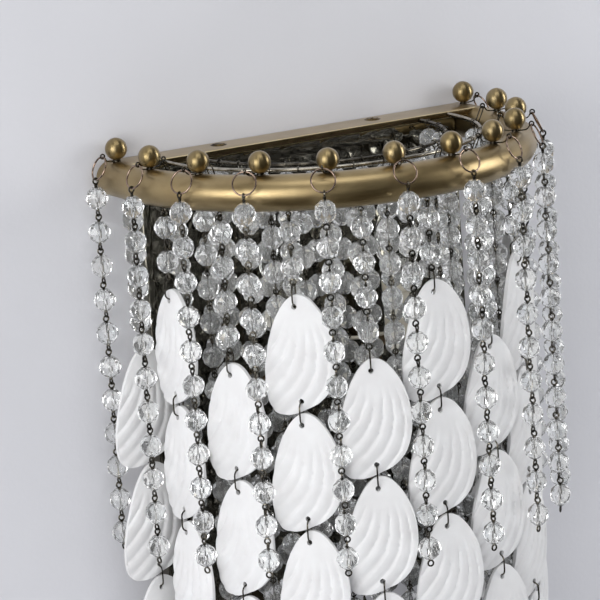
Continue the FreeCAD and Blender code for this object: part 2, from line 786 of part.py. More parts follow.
box_top_text = (
    "Sizes.ball_level - Sizes.ball_dia / 2 - Sizes.wire_dia - Sizes.bar_thick - Sizes.spacer_thick"
)
box_half_text = "(Sizes.rim_radius - Sizes.tube_dia / 2 - Sizes.box_side_gap)"
box_outside = bound(
    "Part::Box",
    "box_outside",
    Length="2 * " + box_half_text,
    Width="Sizes.box_depth",
    Height="Sizes.box_height",
    Placement_Base_x="-" + box_half_text,
    Placement_Base_y="-Sizes.box_depth",
    Placement_Base_z=box_top_text + " - Sizes.box_height",
)
box_inside = bound(
    "Part::Box",
    "box_inside",
    Length="2 * " + box_half_text + " - 2 * Sizes.box_sheet",
    Width="Sizes.box_depth",
    Height="Sizes.box_height - 2 * Sizes.box_sheet",
    Placement_Base_x="Sizes.box_sheet - " + box_half_text,
    Placement_Base_y="Sizes.box_sheet - Sizes.box_depth",
    Placement_Base_z=box_top_text + " - Sizes.box_height + Sizes.box_sheet",
)
tray = boolean("Part::Cut", "box_tray", box_outside, box_inside)


def upright_hole(name, diameter, x, y):
    return bound(
        "Part::Cylinder",
        name,
        Radius=diameter + " / 2 + Sizes.fit_gap",
        Height="Sizes.bar_thick + Sizes.spacer_thick + 2 * Sizes.box_sheet",
        Placement_Base_x=x,
        Placement_Base_y=y,
        Placement_Base_z=box_top_text + " - 2 * Sizes.box_sheet",
    )


def wall_hole(name, radius, x, z):
    """A hole along Y, through everything from the wall out to past the box's front."""
    hole = bound("Part::Cylinder", name, Radius=radius, Height="2 * Sizes.box_depth")
    hole.Placement = Placement(Vector(0, 0, 0), Rotation(Vector(1, 0, 0), 90))
    hole.setExpression("Placement.Base.x", x)
    hole.setExpression("Placement.Base.z", z)
    return hole


arm_hole_z = "-Sizes.lamp_seat_drop - Sizes.arm_tab / 2"
hole_makers = []
for side, sign in (("left", "-"), ("right", "")):
    hole_makers.append(
        upright_hole(
            "bar_hole_" + side,
            "Sizes.bar_screw_dia",
            sign + "Sizes.bar_screw_spread / 2",
            "-Sizes.bar_screw_inset",
        )
    )
    hole_makers.append(
        wall_hole(
            "stud_hole_" + side,
            "Sizes.box_stud_dia / 2 + Sizes.fit_gap",
            sign + "Sizes.box_stud_spread / 2",
            "Sizes.box_stud_rise",
        )
    )
    hole_makers.append(
        wall_hole(
            "arm_hole_" + side,
            "Sizes.arm_screw_dia / 2 + Sizes.fit_gap",
            sign + "Sizes.lamp_spread / 2",
            arm_hole_z,
        )
    )
hole_makers.append(
    wall_hole("cable_hole", "Sizes.cable_hole_dia / 2", "0", "-Sizes.cable_hole_drop")
)
for k, hole in enumerate(hole_makers):
    tray = boolean("Part::Cut", "box_drilled_%d" % (k + 1), tray, hole)
finished("back_box", tray)

grommet_radius = size.cable_hole_dia / 2
grommet_start = -size.box_depth - size.grommet_lip
grommet_bore = Part.makeCylinder(
    size.grommet_bore / 2,
    size.box_sheet + 2 * size.grommet_lip,
    Vector(0, grommet_start, 0),
    Vector(0, 1, 0),
)
grommet = Part.makeCylinder(
    grommet_radius, size.box_sheet, Vector(0, -size.box_depth, 0), Vector(0, 1, 0)
)
for start in (grommet_start, -size.box_depth + size.box_sheet):
    lip = Part.makeCylinder(
        grommet_radius + size.grommet_lip, size.grommet_lip, Vector(0, start, 0), Vector(0, 1, 0)
    )
    grommet = grommet.fuse(lip)
grommet_place = Placement(Vector(0, 0, -size.cable_hole_drop), Rotation())
piece("cable_grommet", grommet.cut(grommet_bore), grommet_place)


# Wall bracket: a strip with wall bolt holes and the studs that hold the back box


def plane_of(body, role):
    return next(f for f in body.Origin.OriginFeatures if f.Role == role)


def sketched_circle(sketch, name, radius, x, y):
    start = size.box_stud_dia / 2
    index = sketch.addGeometry(Part.Circle(Vector(start, start, 0), Vector(0, 0, 1), start))
    for kind, suffix, expression in (
        ("Radius", "radius", radius),
        ("DistanceX", "across", x),
        ("DistanceY", "up", y),
    ):
        if kind == "Radius":
            made = sketch.addConstraint(Sketcher.Constraint(kind, index, start))
        else:
            made = sketch.addConstraint(Sketcher.Constraint(kind, -1, 1, index, 3, start))
        sketch.renameConstraint(made, name + "_" + suffix)
        sketch.setExpression("Constraints." + name + "_" + suffix, expression)


def sketched_rectangle(sketch, left, right, low_side, high_side):
    end = size.bracket_length / 2
    edge = size.bracket_height / 2
    corners = [Vector(-end, -edge, 0), Vector(end, -edge, 0), Vector(end, edge, 0), Vector(-end, edge, 0)]
    lines = [
        sketch.addGeometry(Part.LineSegment(corners[k], corners[(k + 1) % 4])) for k in range(4)
    ]
    for k in range(4):
        sketch.addConstraint(Sketcher.Constraint("Coincident", lines[k], 2, lines[(k + 1) % 4], 1))
    for k, kind in enumerate(("Horizontal", "Vertical", "Horizontal", "Vertical")):
        sketch.addConstraint(Sketcher.Constraint(kind, lines[k]))
    places = (
        ("left", "DistanceX", 0, left),
        ("low", "DistanceY", 0, low_side),
        ("right", "DistanceX", 2, right),
        ("high", "DistanceY", 2, high_side),
    )
    for name, kind, line, expression in places:
        value = getattr(corners[line], "x" if kind == "DistanceX" else "y")
        made = sketch.addConstraint(Sketcher.Constraint(kind, -1, 1, lines[line], 1, value))
        sketch.renameConstraint(made, name)
        sketch.setExpression("Constraints." + name, expression)


bracket = doc.addObject("PartDesign::Body", "wall_bracket")
strip_sketch = bracket.newObject("Sketcher::SketchObject", "strip_sketch")
strip_sketch.AttachmentSupport = [(plane_of(bracket, "XZ_Plane"), "")]
strip_sketch.MapMode = "FlatFace"
sketched_rectangle(
    strip_sketch,
    "-Sizes.bracket_length / 2",
    "Sizes.bracket_length / 2",
    "-Sizes.bracket_height / 2",
    "Sizes.bracket_height / 2",
)
strip_pad = bracket.newObject("PartDesign::Pad", "strip_pad")
strip_pad.Profile = strip_sketch
strip_pad.setExpression("Length", "Sizes.bracket_thick")
doc.recompute()
hole_sketch = bracket.newObject("Sketcher::SketchObject", "strip_holes_sketch")
hole_sketch.AttachmentSupport = [(plane_of(bracket, "XZ_Plane"), "")]
hole_sketch.MapMode = "FlatFace"
for side, sign in (("left", "-"), ("right", "")):
    sketched_circle(
        hole_sketch,
        "bolt_" + side,
        "Sizes.wall_bolt_dia / 2",
        sign + "Sizes.wall_bolt_spread / 2",
        "0",
    )
    sketched_circle(
        hole_sketch,
        "stud_" + side,
        "Sizes.box_stud_dia / 2",
        sign + "Sizes.box_stud_spread / 2",
        "Sizes.box_stud_rise",
    )
sketched_circle(
    hole_sketch,
    "earth",
    "Sizes.earth_screw_dia / 2 + Sizes.fit_gap",
    "Sizes.earth_screw_side",
    "0",
)
strip_pocket = bracket.newObject("PartDesign::Pocket", "strip_pocket")
strip_pocket.Profile = hole_sketch
strip_pocket.Type = "ThroughAll"
strip_pocket.Midplane = True
doc.recompute()
finished("wall_bracket", bracket)

box_studs = []
dome_nuts = []
stud_length = size.box_depth + size.dome_nut_grip
for side in (-1, 1):
    foot = Vector(side * size.box_stud_spread / 2, 0, size.box_stud_rise)
    box_studs.append(Part.makeCylinder(size.box_stud_dia / 2, stud_length, foot, Vector(0, -1, 0)))
    nut_radius = size.dome_nut_dia / 2
    start = foot + Vector(0, -size.box_depth, 0)
    barrel = Part.makeCylinder(
        nut_radius, size.dome_nut_length - nut_radius / 2, start, Vector(0, -1, 0)
    )
    crown = Part.makeSphere(nut_radius)
    crown = at(crown, Placement(start + Vector(0, nut_radius - size.dome_nut_length, 0), Rotation()))
    clear = Part.makeBox(
        2 * nut_radius, nut_radius, 2 * nut_radius, start + Vector(-nut_radius, 0, -nut_radius)
    )
    thread = Part.makeCylinder(
        size.box_stud_dia / 2 + size.fit_gap,
        size.dome_nut_grip + size.fit_gap,
        start,
        Vector(0, -1, 0),
    )
    dome_nuts.append(barrel.fuse(crown).cut(clear).cut(thread))
piece("box_studs", group(box_studs))
piece("dome_nuts", group(dome_nuts))


# Lamps: an arm, its screw and nut, a holder and a bulb on each side

seat_level = -size.lamp_seat_drop
arm_reach = size.lamp_out + size.arm_nose - size.box_depth
arms = []
arm_screws = []
arm_nuts = []
holders = []
bulbs = []
bulb_caps = []


def bulb_profile():
    """Half outline of the candle glass, from its cap up."""
    belly = size.bulb_height * BULB_BELLY_SHARE
    radius = size.bulb_dia / 2
    foot = Vector(size.bulb_neck_dia / 2, 0, 0)
    widest = Vector(radius, 0, belly)
    narrow = Vector(
        radius * BULB_TIP_SHARE, 0, belly + (size.bulb_height - belly) * (1 - BULB_TIP_SHARE / 2)
    )
    tip = Vector(0, 0, size.bulb_height)
    side = Part.BSplineCurve()
    side.interpolate([foot, widest, narrow, tip])
    edges = [
        side.toShape(),
        Part.LineSegment(tip, Vector(0, 0, 0)).toShape(),
        Part.LineSegment(Vector(0, 0, 0), foot).toShape(),
    ]
    return Part.Face(Part.Wire(edges))


bulb = bulb_profile().revolve(Vector(0, 0, 0), Vector(0, 0, 1), 360)
for side in (-1, 1):
    x = side * size.lamp_spread / 2
    left = x - size.arm_width / 2
    tab = Part.makeBox(
        size.arm_width,
        size.arm_thick,
        size.arm_tab,
        Vector(left, -size.box_depth - size.arm_thick, seat_level - size.arm_tab),
    )
    shelf = Part.makeBox(
        size.arm_width,
        arm_reach,
        size.arm_thick,
        Vector(left, -size.box_depth - arm_reach, seat_level - size.arm_thick),
    )
    screw_spot = Vector(x, -size.box_depth - size.arm_thick, seat_level - size.arm_tab / 2)
    back = Vector(0, 1, 0)
    screw_radius = size.arm_screw_dia / 2
    grip = size.arm_thick + size.box_sheet + size.arm_nut_thick
    clearance = Part.makeCylinder(screw_radius + size.fit_gap, grip, screw_spot, back)
    arms.append(tab.fuse(shelf).cut(clearance))
    head = Part.makeCylinder(
        size.arm_screw_head / 2, size.arm_head_thick, screw_spot - back * size.arm_head_thick, back
    )
    arm_screws.append(head.fuse(Part.makeCylinder(screw_radius, grip, screw_spot, back)))
    nut_spot = screw_spot + back * (size.arm_thick + size.box_sheet)
    arm_nuts.append(
        Part.makeCylinder(size.arm_nut_dia / 2, size.arm_nut_thick, nut_spot, back).cut(clearance)
    )
    foot = Vector(x, -size.lamp_out, seat_level)
    body = Part.makeCylinder(size.holder_dia / 2, size.holder_height, foot)
    socket = Part.makeCylinder(
        size.cap_dia / 2 + size.cap_gap,
        size.holder_height,
        foot + Vector(0, 0, size.holder_floor),
    )
    holders.append(body.cut(socket))
    cap_foot = foot + Vector(0, 0, size.holder_floor)
    bulb_caps.append(Part.makeCylinder(size.cap_dia / 2, size.cap_height, cap_foot))
    glass_foot = cap_foot + Vector(0, 0, size.cap_height)
    bulbs.append(shifted(bulb, glass_foot.x, glass_foot.y, glass_foot.z))
piece("lamp_arms", group(arms))
piece("arm_screws", group(arm_screws))
piece("box_nuts", group(bar_nuts + arm_nuts))
piece("lamp_holders", group(holders))
piece("bulb_caps", group(bulb_caps))
piece("bulbs", group(bulbs))


# Wiring inside: terminal block in the back box, a lead to each lamp, and the earth screw

block_low = Vector(
    -size.block_length / 2,
    size.box_sheet - size.box_depth,
    -size.block_drop - size.block_height / 2,
)
block = Part.makeBox(size.block_length, size.block_depth, size.block_height, block_low)
for side in (-1, 0, 1):
    block_face = size.box_sheet - size.box_depth + size.block_depth
    spot = Vector(side * size.block_screw_pitch, block_face, -size.block_drop)
    block = block.cut(
        Part.makeCylinder(size.block_screw_dia / 2, size.block_screw_depth, spot, Vector(0, -1, 0))
    )
piece("terminal_block", block)


def lamp_lead(side):
    """Down from the terminal block, out through the grommet and aside to the lamp holder."""
    x = side * size.lead_apart / 2
    y = -size.lead_back
    z = -size.cable_hole_drop
    bend = size.lead_bend
    sweep = size.lead_sweep
    part_way = 1 - math.sqrt(0.5)
    holder_side = side * (size.lamp_spread - size.holder_dia) / 2
    top = Vector(x, y, block_low.z)
    bend_in = Vector(x, y, z + bend)
    bend_mid = Vector(x, y - bend * part_way, z + bend * part_way)
    bend_out = Vector(x, y - bend, z)
    sweep_in = Vector(x, -size.lamp_out + sweep, z)
    sweep_mid = Vector(x + side * sweep * part_way, -size.lamp_out + sweep * part_way, z)
    sweep_out = Vector(x + side * sweep, -size.lamp_out, z)
    end = Vector(holder_side, -size.lamp_out, z)
    edges = [
        Part.LineSegment(top, bend_in),
        Part.Arc(bend_in, bend_mid, bend_out),
        Part.LineSegment(bend_out, sweep_in),
        Part.Arc(sweep_in, sweep_mid, sweep_out),
        Part.LineSegment(sweep_out, end),
    ]
    route = Part.Wire([edge.toShape() for edge in edges])
    circle = Part.Circle(top, Vector(0, 0, 1), size.lead_dia / 2)
    print("lead length", round(route.Length, 1), "bends", bend, sweep)
    return route.makePipeShell([Part.Wire(circle.toShape())], True, False)


piece("lamp_leads", group([lamp_lead(side) for side in (-1, 1)]))

earth_spot = Vector(size.earth_screw_side, -size.bracket_thick, 0)
earth_head = Part.makeCylinder(
    size.earth_screw_head / 2, size.earth_head_thick, earth_spot, Vector(0, -1, 0)
)
earth_shank = Part.makeCylinder(
    size.earth_screw_dia / 2, size.bracket_thick, earth_spot, Vector(0, 1, 0)
)
piece("earth_screw", earth_head.fuse(earth_shank))


# Write each sub-part

os.makedirs("parts", exist_ok=True)
doc.recompute()
failed = [o.Name for o in doc.Objects if "Invalid" in o.State or "Error" in o.State]
if failed:
    raise SystemExit("failed objects: %s" % failed)
for made in subparts:
    if made.Shape.isNull() or not made.Shape.isValid() or not made.Shape.Solids:
        raise SystemExit("bad shape: %s" % made.Label)
for made in subparts:
    made.Shape.exportStep(os.path.join("parts", made.Label + ".step"))
print(len(subparts), "sub-parts written")
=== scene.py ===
import json
import math
import random

import bmesh
import bpy
from mathutils import Matrix, Vector


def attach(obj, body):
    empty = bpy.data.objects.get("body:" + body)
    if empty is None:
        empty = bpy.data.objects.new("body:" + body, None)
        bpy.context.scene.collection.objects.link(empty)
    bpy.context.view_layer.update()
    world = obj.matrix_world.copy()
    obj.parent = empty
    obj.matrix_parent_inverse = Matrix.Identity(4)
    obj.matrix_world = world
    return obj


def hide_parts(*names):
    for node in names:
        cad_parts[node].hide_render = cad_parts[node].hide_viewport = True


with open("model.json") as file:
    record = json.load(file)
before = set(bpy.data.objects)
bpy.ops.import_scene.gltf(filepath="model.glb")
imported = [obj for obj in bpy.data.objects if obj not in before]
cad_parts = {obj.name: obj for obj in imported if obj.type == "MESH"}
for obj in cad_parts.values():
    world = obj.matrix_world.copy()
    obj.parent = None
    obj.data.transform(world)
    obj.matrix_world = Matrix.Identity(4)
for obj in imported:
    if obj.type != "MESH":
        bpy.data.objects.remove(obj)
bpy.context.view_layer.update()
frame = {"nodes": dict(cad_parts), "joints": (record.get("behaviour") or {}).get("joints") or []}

MM = 0.001

# Sizes and counts of the sconce, in millimetres and degrees, as its solids have them
RIM_RADIUS = 146.5
RIM_LEG = 36.1
TUBE_RADIUS = 12.7
TUBE_LEVEL = 12.4
CREST_LEVEL = 25.1
BALLS = 12
BALL_RADIUS = 7.9
BALL_LEVEL = 34.0
BALL_MARGIN = 9.0
WIRE_RADIUS = 0.5
WIRE_HANG = 1.2
HOOK_REACH = 11.8
HOOK_EYE_RADIUS = 1.6
HOOK_EYE_DROP = 3.8
RING_RADIUS = 8.3
RING_TILT = 25.0
LOOP_RADIUS = 2.05
BEAD_HEIGHT = 15.0
BEAD_PITCH = 24.4
NECK = 3.25
NECK_TRIM = 0.6
FIRST_PIN_EXTRA = 1.6
STRAND_BEADS = 11
CURTAIN_BEADS = 16
LINK_LENGTH = 17.0
LINK_BEND = 2.5
LINK_LEAN = 25.0
SHELL_LINK_LENGTH = 15.0
SHELL_LINK_BEND = 4.0
HOLE_DROP = 1.0
SHELL_WIDTH = 53.0
SHELL_HEIGHT = 86.4
SHELL_WALL = 2.8
SHELL_HOLE_SPAN = 67.0
SHELL_HOLE_RADIUS = 1.9
SHELL_PITCH = 84.0
SHELL_BOW_RADIUS = 240.0
SHELL_BULGE_RADIUS = 95.0
COLUMNS = 11
COLUMN_SHELLS = 4
LONG_LEAD = 4
SHORT_LEAD = 2
BAR_DEPTH = 28.7
BAR_THICK = 5.0
BAR_SCREW_SIDE = 65.0
BAR_SCREW_OUT = 11.0
BAR_SCREW_HOLE = 2.65
BOX_HALF = 133.0
BOX_TOP = 18.6
BOX_HEIGHT = 340.0
BOX_DEPTH = 16.0
BOX_SHEET = 1.0
BOX_STUD_SIDE = 123.0
BOX_STUD_LEVEL = 7.0
BOX_STUD_HOLE = 2.15
CABLE_HOLE = 6.0
CABLE_HOLE_LEVEL = -122.0
FRONT_HOOP_INSET = 27.0
FRONT_HOOP_LEVEL = 23.0
BACK_HOOP_INSET = 52.0
BACK_HOOP_LEVEL = 22.0
BACK_HOOP_MARGIN = 12.0
BACK_STRAND_GAP = 17.5
HOOP_RADIUS = 1.5
LAMP_SIDE = 48.0
LAMP_OUT = 62.0
LAMP_SEAT = -132.0
LAMP_SCREW_DROP = 12.0
HOLDER_HEIGHT = 48.0

# Wire radii that differ from the plain wire: rings and eyes look thicker in the photograph
PIN_LOOP_WIRE = 0.68
RING_WIRE = 0.62
EYE_WIRE = 0.6
COLUMN_EYE_WIRE = 0.55
HOOK_KNOT_WIRE = 0.42

# How far each outer strand hangs to one side of its ball, in shares of the hook's reach
STRAND_SIDE = [0.12, 0.18, -0.34, -0.63, -0.41, 0.07, 0.19, 0.16, 0.05, 0.0, 0.08, -0.06]


def new_object(name, data):
    made = bpy.data.objects.new(name, data)
    bpy.context.scene.collection.objects.link(made)
    return made


# Camera where the photograph was taken from

PHOTO_WIDTH = 600.0
SENSOR_WIDTH = 36.0


def look_through(spot, yaw, pitch, roll, focal_pixels):
    """A camera at its spot: angles in radians, focal length in pixels of the photograph."""
    camera = new_object("photo_camera", bpy.data.cameras.new("photo_camera"))
    ahead = Vector((
        math.sin(yaw) * math.cos(pitch), math.cos(yaw) * math.cos(pitch), -math.sin(pitch)
    ))
    level = Vector((math.cos(yaw), -math.sin(yaw), 0.0))
    upright = level.cross(ahead)
    right = level * math.cos(roll) + upright * math.sin(roll)
    up = upright * math.cos(roll) - level * math.sin(roll)
    turn = Matrix((right, up, -ahead)).transposed()
    camera.matrix_world = Matrix.Translation(spot) @ turn.to_4x4()
    camera.data.sensor_width = SENSOR_WIDTH
    camera.data.lens = focal_pixels * SENSOR_WIDTH / PHOTO_WIDTH
    camera.data.clip_start = 0.05
    camera.data.clip_end = 30.0
    bpy.context.scene.camera = camera


look_through(Vector((-1.31239, -2.25865, 0.47333)), 0.5264, 0.2166, -0.0663, 3645.2)


# Materials: one function turns sRGB hex to linear, one adds a node


def linear(colour):
    values = [int(colour[k:k + 2], 16) / 255 for k in (1, 3, 5)]
    return [v / 12.92 if v <= 0.04045 else ((v + 0.055) / 1.055) ** 2.4 for v in values] + [1.0]


def node(tree, kind, inputs=None, **settings):
    made = tree.nodes.new(kind)
    for name, value in settings.items():
        setattr(made, name, value)
    for key, value in (inputs or {}).items():
        if isinstance(value, bpy.types.NodeSocket):
            tree.links.new(value, made.inputs[key])
        else:
            made.inputs[key].default_value = value
    return made


def material(name, colour, **sockets):
    made = bpy.data.materials.new(name)
    made.use_nodes = True
    made.diffuse_color = linear(colour)
    surface = made.node_tree.nodes["Principled BSDF"]
    surface.inputs["Base Color"].default_value = linear(colour)
    for key, value in sockets.items():
        surface.inputs[key.replace("_", " ")].default_value = value
    return made, made.node_tree, surface


def mixed(tree, share, first, second):
    """The material's output, from the first shader to the second by a share."""
    both = node(tree, "ShaderNodeMixShader", {0: share, 1: first, 2: second})
    tree.links.new(both.outputs[0], tree.nodes["Material Output"].inputs["Surface"])
    return both.outputs[0]


def mottled(tree, surface, scale_mm, dark, light, low=0.35, high=0.65, detail=4.0):
    """Cloudy change between two colours, its clouds scale_mm wide."""
    place = node(tree, "ShaderNodeTexCoord").outputs["Object"]
    cloud = node(
        tree, "ShaderNodeTexNoise", {"Vector": place, "Scale": 1000 / scale_mm, "Detail": detail}
    )
    ramp = node(tree, "ShaderNodeValToRGB", {"Fac": cloud.outputs["Fac"]})
    ramp.color_ramp.elements[0].position = low
    ramp.color_ramp.elements[0].color = linear(dark)
    ramp.color_ramp.elements[1].position = high
    ramp.color_ramp.elements[1].color = linear(light)
    tree.links.new(ramp.outputs["Color"], surface.inputs["Base Color"])
    return place


def uneven(tree, surface, place, scale_mm, depth_mm, detail):
    """Low relief, its swellings scale_mm wide."""
    relief = node(
        tree, "ShaderNodeTexNoise", {"Vector": place, "Scale": 1000 / scale_mm, "Detail": detail}
    )
    bump = node(
        tree, "ShaderNodeBump",
        {"Height": relief.outputs["Fac"], "Distance": depth_mm * MM, "Strength": 1.0},
    )
    tree.links.new(bump.outputs["Normal"], surface.inputs["Normal"])
    return relief


def grained(tree, surface, place, scale_mm, depth_mm, rough_low, rough_high):
    """Fine relief and change of gloss from the same grain."""
    grain = uneven(tree, surface, place, scale_mm, depth_mm, 3.0)
    gloss = node(
        tree, "ShaderNodeMapRange",
        {
            "Value": grain.outputs["Fac"], "From Min": 0.3, "From Max": 0.7,
            "To Min": rough_low, "To Max": rough_high,
        },
    )
    tree.links.new(gloss.outputs["Result"], surface.inputs["Roughness"])


LATHE_MAP = "lathe"
# Stretches of the brushed grain: it is drawn out along the axes with a small number
ALONG_TUBE = (0.25, 0.25, 2.5)
UP_THE_BALL = (3.0, 3.0, 0.3)
ALONG_BAR = (0.15, 2.5, 2.5)


def aged_brass(name, dark, light, stretch, rough, lathe_map=None):
    """Brass, brushed, darkened and lacquered: soft streaked highlights, brown in the low spots.

    The balls were brushed on a lathe, round their upright axis, so their highlight is drawn
    out upwards.
    """
    made, tree, surface = material(
        name, light, Metallic=1.0, Roughness=rough, Coat_Weight=0.3, Coat_Roughness=0.3
    )
    place = mottled(tree, surface, 22.0, dark, light, 0.3, 0.62)
    brushed = node(tree, "ShaderNodeMapping", {"Vector": place, "Scale": stretch}).outputs[0]
    grained(tree, surface, brushed, 1.6, 0.003, rough - 0.04, rough + 0.05)
    if lathe_map:
        surface.inputs["Anisotropic"].default_value = 0.8
        surface.inputs["Anisotropic Rotation"].default_value = 0.25
        round_axis = node(tree, "ShaderNodeTangent", direction_type="UV_MAP", uv_map=lathe_map)
        tree.links.new(round_axis.outputs["Tangent"], surface.inputs["Tangent"])
    return made


brass_tube = aged_brass("aged_brass_tube", "#9A865F", "#AA966E", ALONG_TUBE, 0.38)
brass_balls = aged_brass("aged_brass_balls", "#8A784F", "#9A8862", UP_THE_BALL, 0.34, LATHE_MAP)
brass_bar = aged_brass("aged_brass_bar", "#AD9A78", "#BBA886", ALONG_BAR, 0.36)
# Painted shade: a dark brown brass for the bar's front face and screw recesses, for the shade
# and dark reflection they show
bar_painted_shade = aged_brass("aged_brass_painted_shade", "#4C3F28", "#5E4F34", ALONG_BAR, 0.3)
# Painted highlight: a pale brass for the eased front edges of the bar, for the bright line of
# light along them
bar_painted_highlight = aged_brass("aged_brass_painted_highlight", "#E2CF9F", "#F2E2B8", ALONG_BAR, 0.45)


def plain_metal(name, dark, light, rough):
    """Drawn or turned metal, plated or oxidised: cloudy tone and a fine drawn grain."""
    made, tree, surface = material(name, light, Metallic=1.0, Roughness=rough)
    place = mottled(tree, surface, 6.0, dark, light)
    grained(tree, surface, place, 0.8, 0.01, max(rough - 0.08, 0.02), rough + 0.1)
    return made


dark_wire = plain_metal("oxidised_steel_wire", "#36332E", "#716C61", 0.22)
ring_wire = plain_metal("bronzed_steel_ring", "#7C6A5E", "#AA9586", 0.18)
# Painted light: the front hoop is given a paler steel than the back hoop of the same wire, for
# the bright line of light it shows
hoop_wire_painted_light = plain_metal("steel_hoop_painted_light", "#8A857A", "#BDB7AA", 0.2)
plated_steel = plain_metal("zinc_plated_steel", "#8C8B88", "#B4B3AE", 0.38)
cap_brass = plain_metal("rolled_cap_brass", "#9A7B40", "#C4A05C", 0.3)
screw_brass = plain_metal("blackened_screw_brass", "#3A2D17", "#7C683E", 0.26)


def polished_tray():
    """Stainless sheet polished to a mirror, a little wavy; its tone is painted shade, darker and
    warmer than bare steel for the shaded inside, clouded at random.
    """
    made, tree, surface = material(
        "mirror_steel_painted_shade", "#6A675E", Metallic=1.0, Roughness=0.03
    )
    place = mottled(tree, surface, 60.0, "#625F56", "#737067")
    uneven(tree, surface, place, 45.0, 0.006, 1.0)
    return made


shaded_mirror_steel = polished_tray()


def crystal(name, clear_share, passed):
    """Lead-free crystal, cut and fire polished: clear, bright facets under a faint milky veil.

    The veil is dust and wear. Lamps shine on through the crystal to what is behind.
    """
    made, tree, surface = material(
        name, "#F7F8F8", Roughness=0.0, IOR=1.54, Transmission_Weight=clear_share
    )
    mottled(tree, surface, 9.0, "#EFF2F3", "#FDFCFA", 0.3, 0.7, 2.0)
    path = node(tree, "ShaderNodeLightPath")
    clear = node(tree, "ShaderNodeBsdfTransparent", {"Color": (passed, passed, passed, 1.0)})
    mixed(tree, path.outputs["Is Shadow Ray"], surface.outputs[0], clear.outputs[0])
    return made


strand_crystal = crystal("cut_crystal", 0.94, 0.88)
curtain_crystal = crystal("cut_curtain_crystal", 0.86, 0.68)


def blown_glass():
    """Clear blown bulb glass, thin, with a faint swirl in it."""
    made, tree, surface = material(
        "blown_bulb_glass", "#F4F4F0", Roughness=0.02, IOR=1.5, Transmission_Weight=1.0
    )
    place = node(tree, "ShaderNodeTexCoord").outputs["Object"]
    uneven(tree, surface, place, 14.0, 0.2, 1.0)
    return made


bulb_glass = blown_glass()


def bisque():
    """Unglazed pressed porcelain: chalk white, matte, with a grain like fine paper."""
    made, tree, surface = material(
        "bisque_porcelain", "#DDDCDC", Roughness=0.6, IOR=1.5, Subsurface_Weight=0.06
    )
    surface.inputs["Subsurface Radius"].default_value = (0.002, 0.0018, 0.0016)
    place = mottled(tree, surface, 16.0, "#D9D8D8", "#E1E1E1", 0.3, 0.7)
    grained(tree, surface, place, 0.7, 0.03, 0.55, 0.7)
    return made


porcelain = bisque()


def moulded(name, dark, light, rough):
    """Moulded plastic, rubber or lacquer: soft gloss and a fine even grain."""
    made, tree, surface = material(name, light, Roughness=rough, IOR=1.48)
    place = mottled(tree, surface, 8.0, dark, light)
    grained(tree, surface, place, 0.5, 0.01, rough - 0.06, rough + 0.08)
    return made


holder_plastic = moulded("moulded_holder_plastic", "#CFC8B6", "#DDD7C8", 0.45)
block_plastic = moulded("moulded_block_plastic", "#D4D3CF", "#E2E1DD", 0.4)
lead_sleeve = moulded("extruded_lead_sleeve", "#B9B3A5", "#CBC6B9", 0.35)
grommet_rubber = moulded("moulded_grommet_rubber", "#161616", "#242424", 0.6)
arm_lacquer = moulded("bronze_arm_lacquer", "#4E3F2A", "#665236", 0.35)


# Making pieces


def finish_piece(name, mesh, surface, body, nodes, smooth=None):
    """An object at the origin that rides on its body and stands for its solids."""
    mesh.name = name
    mesh.materials.clear()
    mesh.materials.append(surface)
    if smooth is None:
        mesh.shade_flat()
    else:
        mesh.shade_smooth()
        mesh.set_sharp_from_angle(angle=math.radians(smooth))
    piece = new_object(name, mesh)
    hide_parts(*nodes)
    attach(piece, body)
    return piece


def to_mesh(bm):
    mesh = bpy.data.meshes.new("part")
    bm.to_mesh(mesh)
    bm.free()
    return mesh


def outward_faces(bm):
    bmesh.ops.remove_doubles(bm, verts=bm.verts, dist=1e-6)
    bmesh.ops.recalc_face_normals(bm, faces=bm.faces)


def gathered(parts, carrier=Matrix()):
    """One mesh from (mesh, place) pairs, all carried along."""
    whole = bmesh.new()
    for mesh, own_place in parts:
        place = carrier @ own_place
        copy = mesh.copy()
        copy.transform(place)
        if place.determinant() < 0:
            copy.flip_normals()
        whole.from_mesh(copy)
        bpy.data.meshes.remove(copy)
    return to_mesh(whole)


def repeated(mesh, places):
    return gathered([(mesh, place) for place in places])


def moved(x=0.0, y=0.0, z=0.0):
    return Matrix.Translation((x * MM, y * MM, z * MM))


def spun(angle, axis="Z"):
    return Matrix.Rotation(math.radians(angle), 4, axis)


def tipped(luck, most):
    """A small chance lean about X and Y."""
    return spun(luck.uniform(-most, most), "X") @ spun(luck.uniform(-most, most), "Y")


def edges_in(geom):
    return [one for one in geom if isinstance(one, bmesh.types.BMEdge)]


def verts_in(geom):
    return [one for one in geom if isinstance(one, bmesh.types.BMVert)]


def turn_dots(bm, dots, angle, axis):
    bmesh.ops.rotate(
        bm, verts=dots, cent=(0, 0, 0), matrix=Matrix.Rotation(math.radians(angle), 3, axis)
    )


def cut_through(mesh, tools):
    """What is left of a mesh after its holes are cut."""
    base = new_object("base", mesh)
    made = []
    for tool in tools:
        one = new_object("tool", tool)
        cut = base.modifiers.new("cut", "BOOLEAN")
        cut.operation = "DIFFERENCE"
        cut.solver = "EXACT"
        cut.object = one
        made.append(one)
    bpy.context.view_layer.update()
    graph = bpy.context.evaluated_depsgraph_get()
    done = bpy.data.meshes.new_from_object(base.evaluated_get(graph))
    for one in made + [base]:
        bpy.data.objects.remove(one)
    return done


def rod(radius, low, high, around=6, top_radius=None):
    """A round bar along Z from low to high."""
    bm = bmesh.new()
    bmesh.ops.create_cone(
        bm, cap_ends=True, segments=around, radius1=radius * MM,
        radius2=(radius if top_radius is None else top_radius) * MM, depth=(high - low) * MM,
    )
    bmesh.ops.translate(bm, verts=bm.verts, vec=(0, 0, (low + high) / 2 * MM))
    return to_mesh(bm)


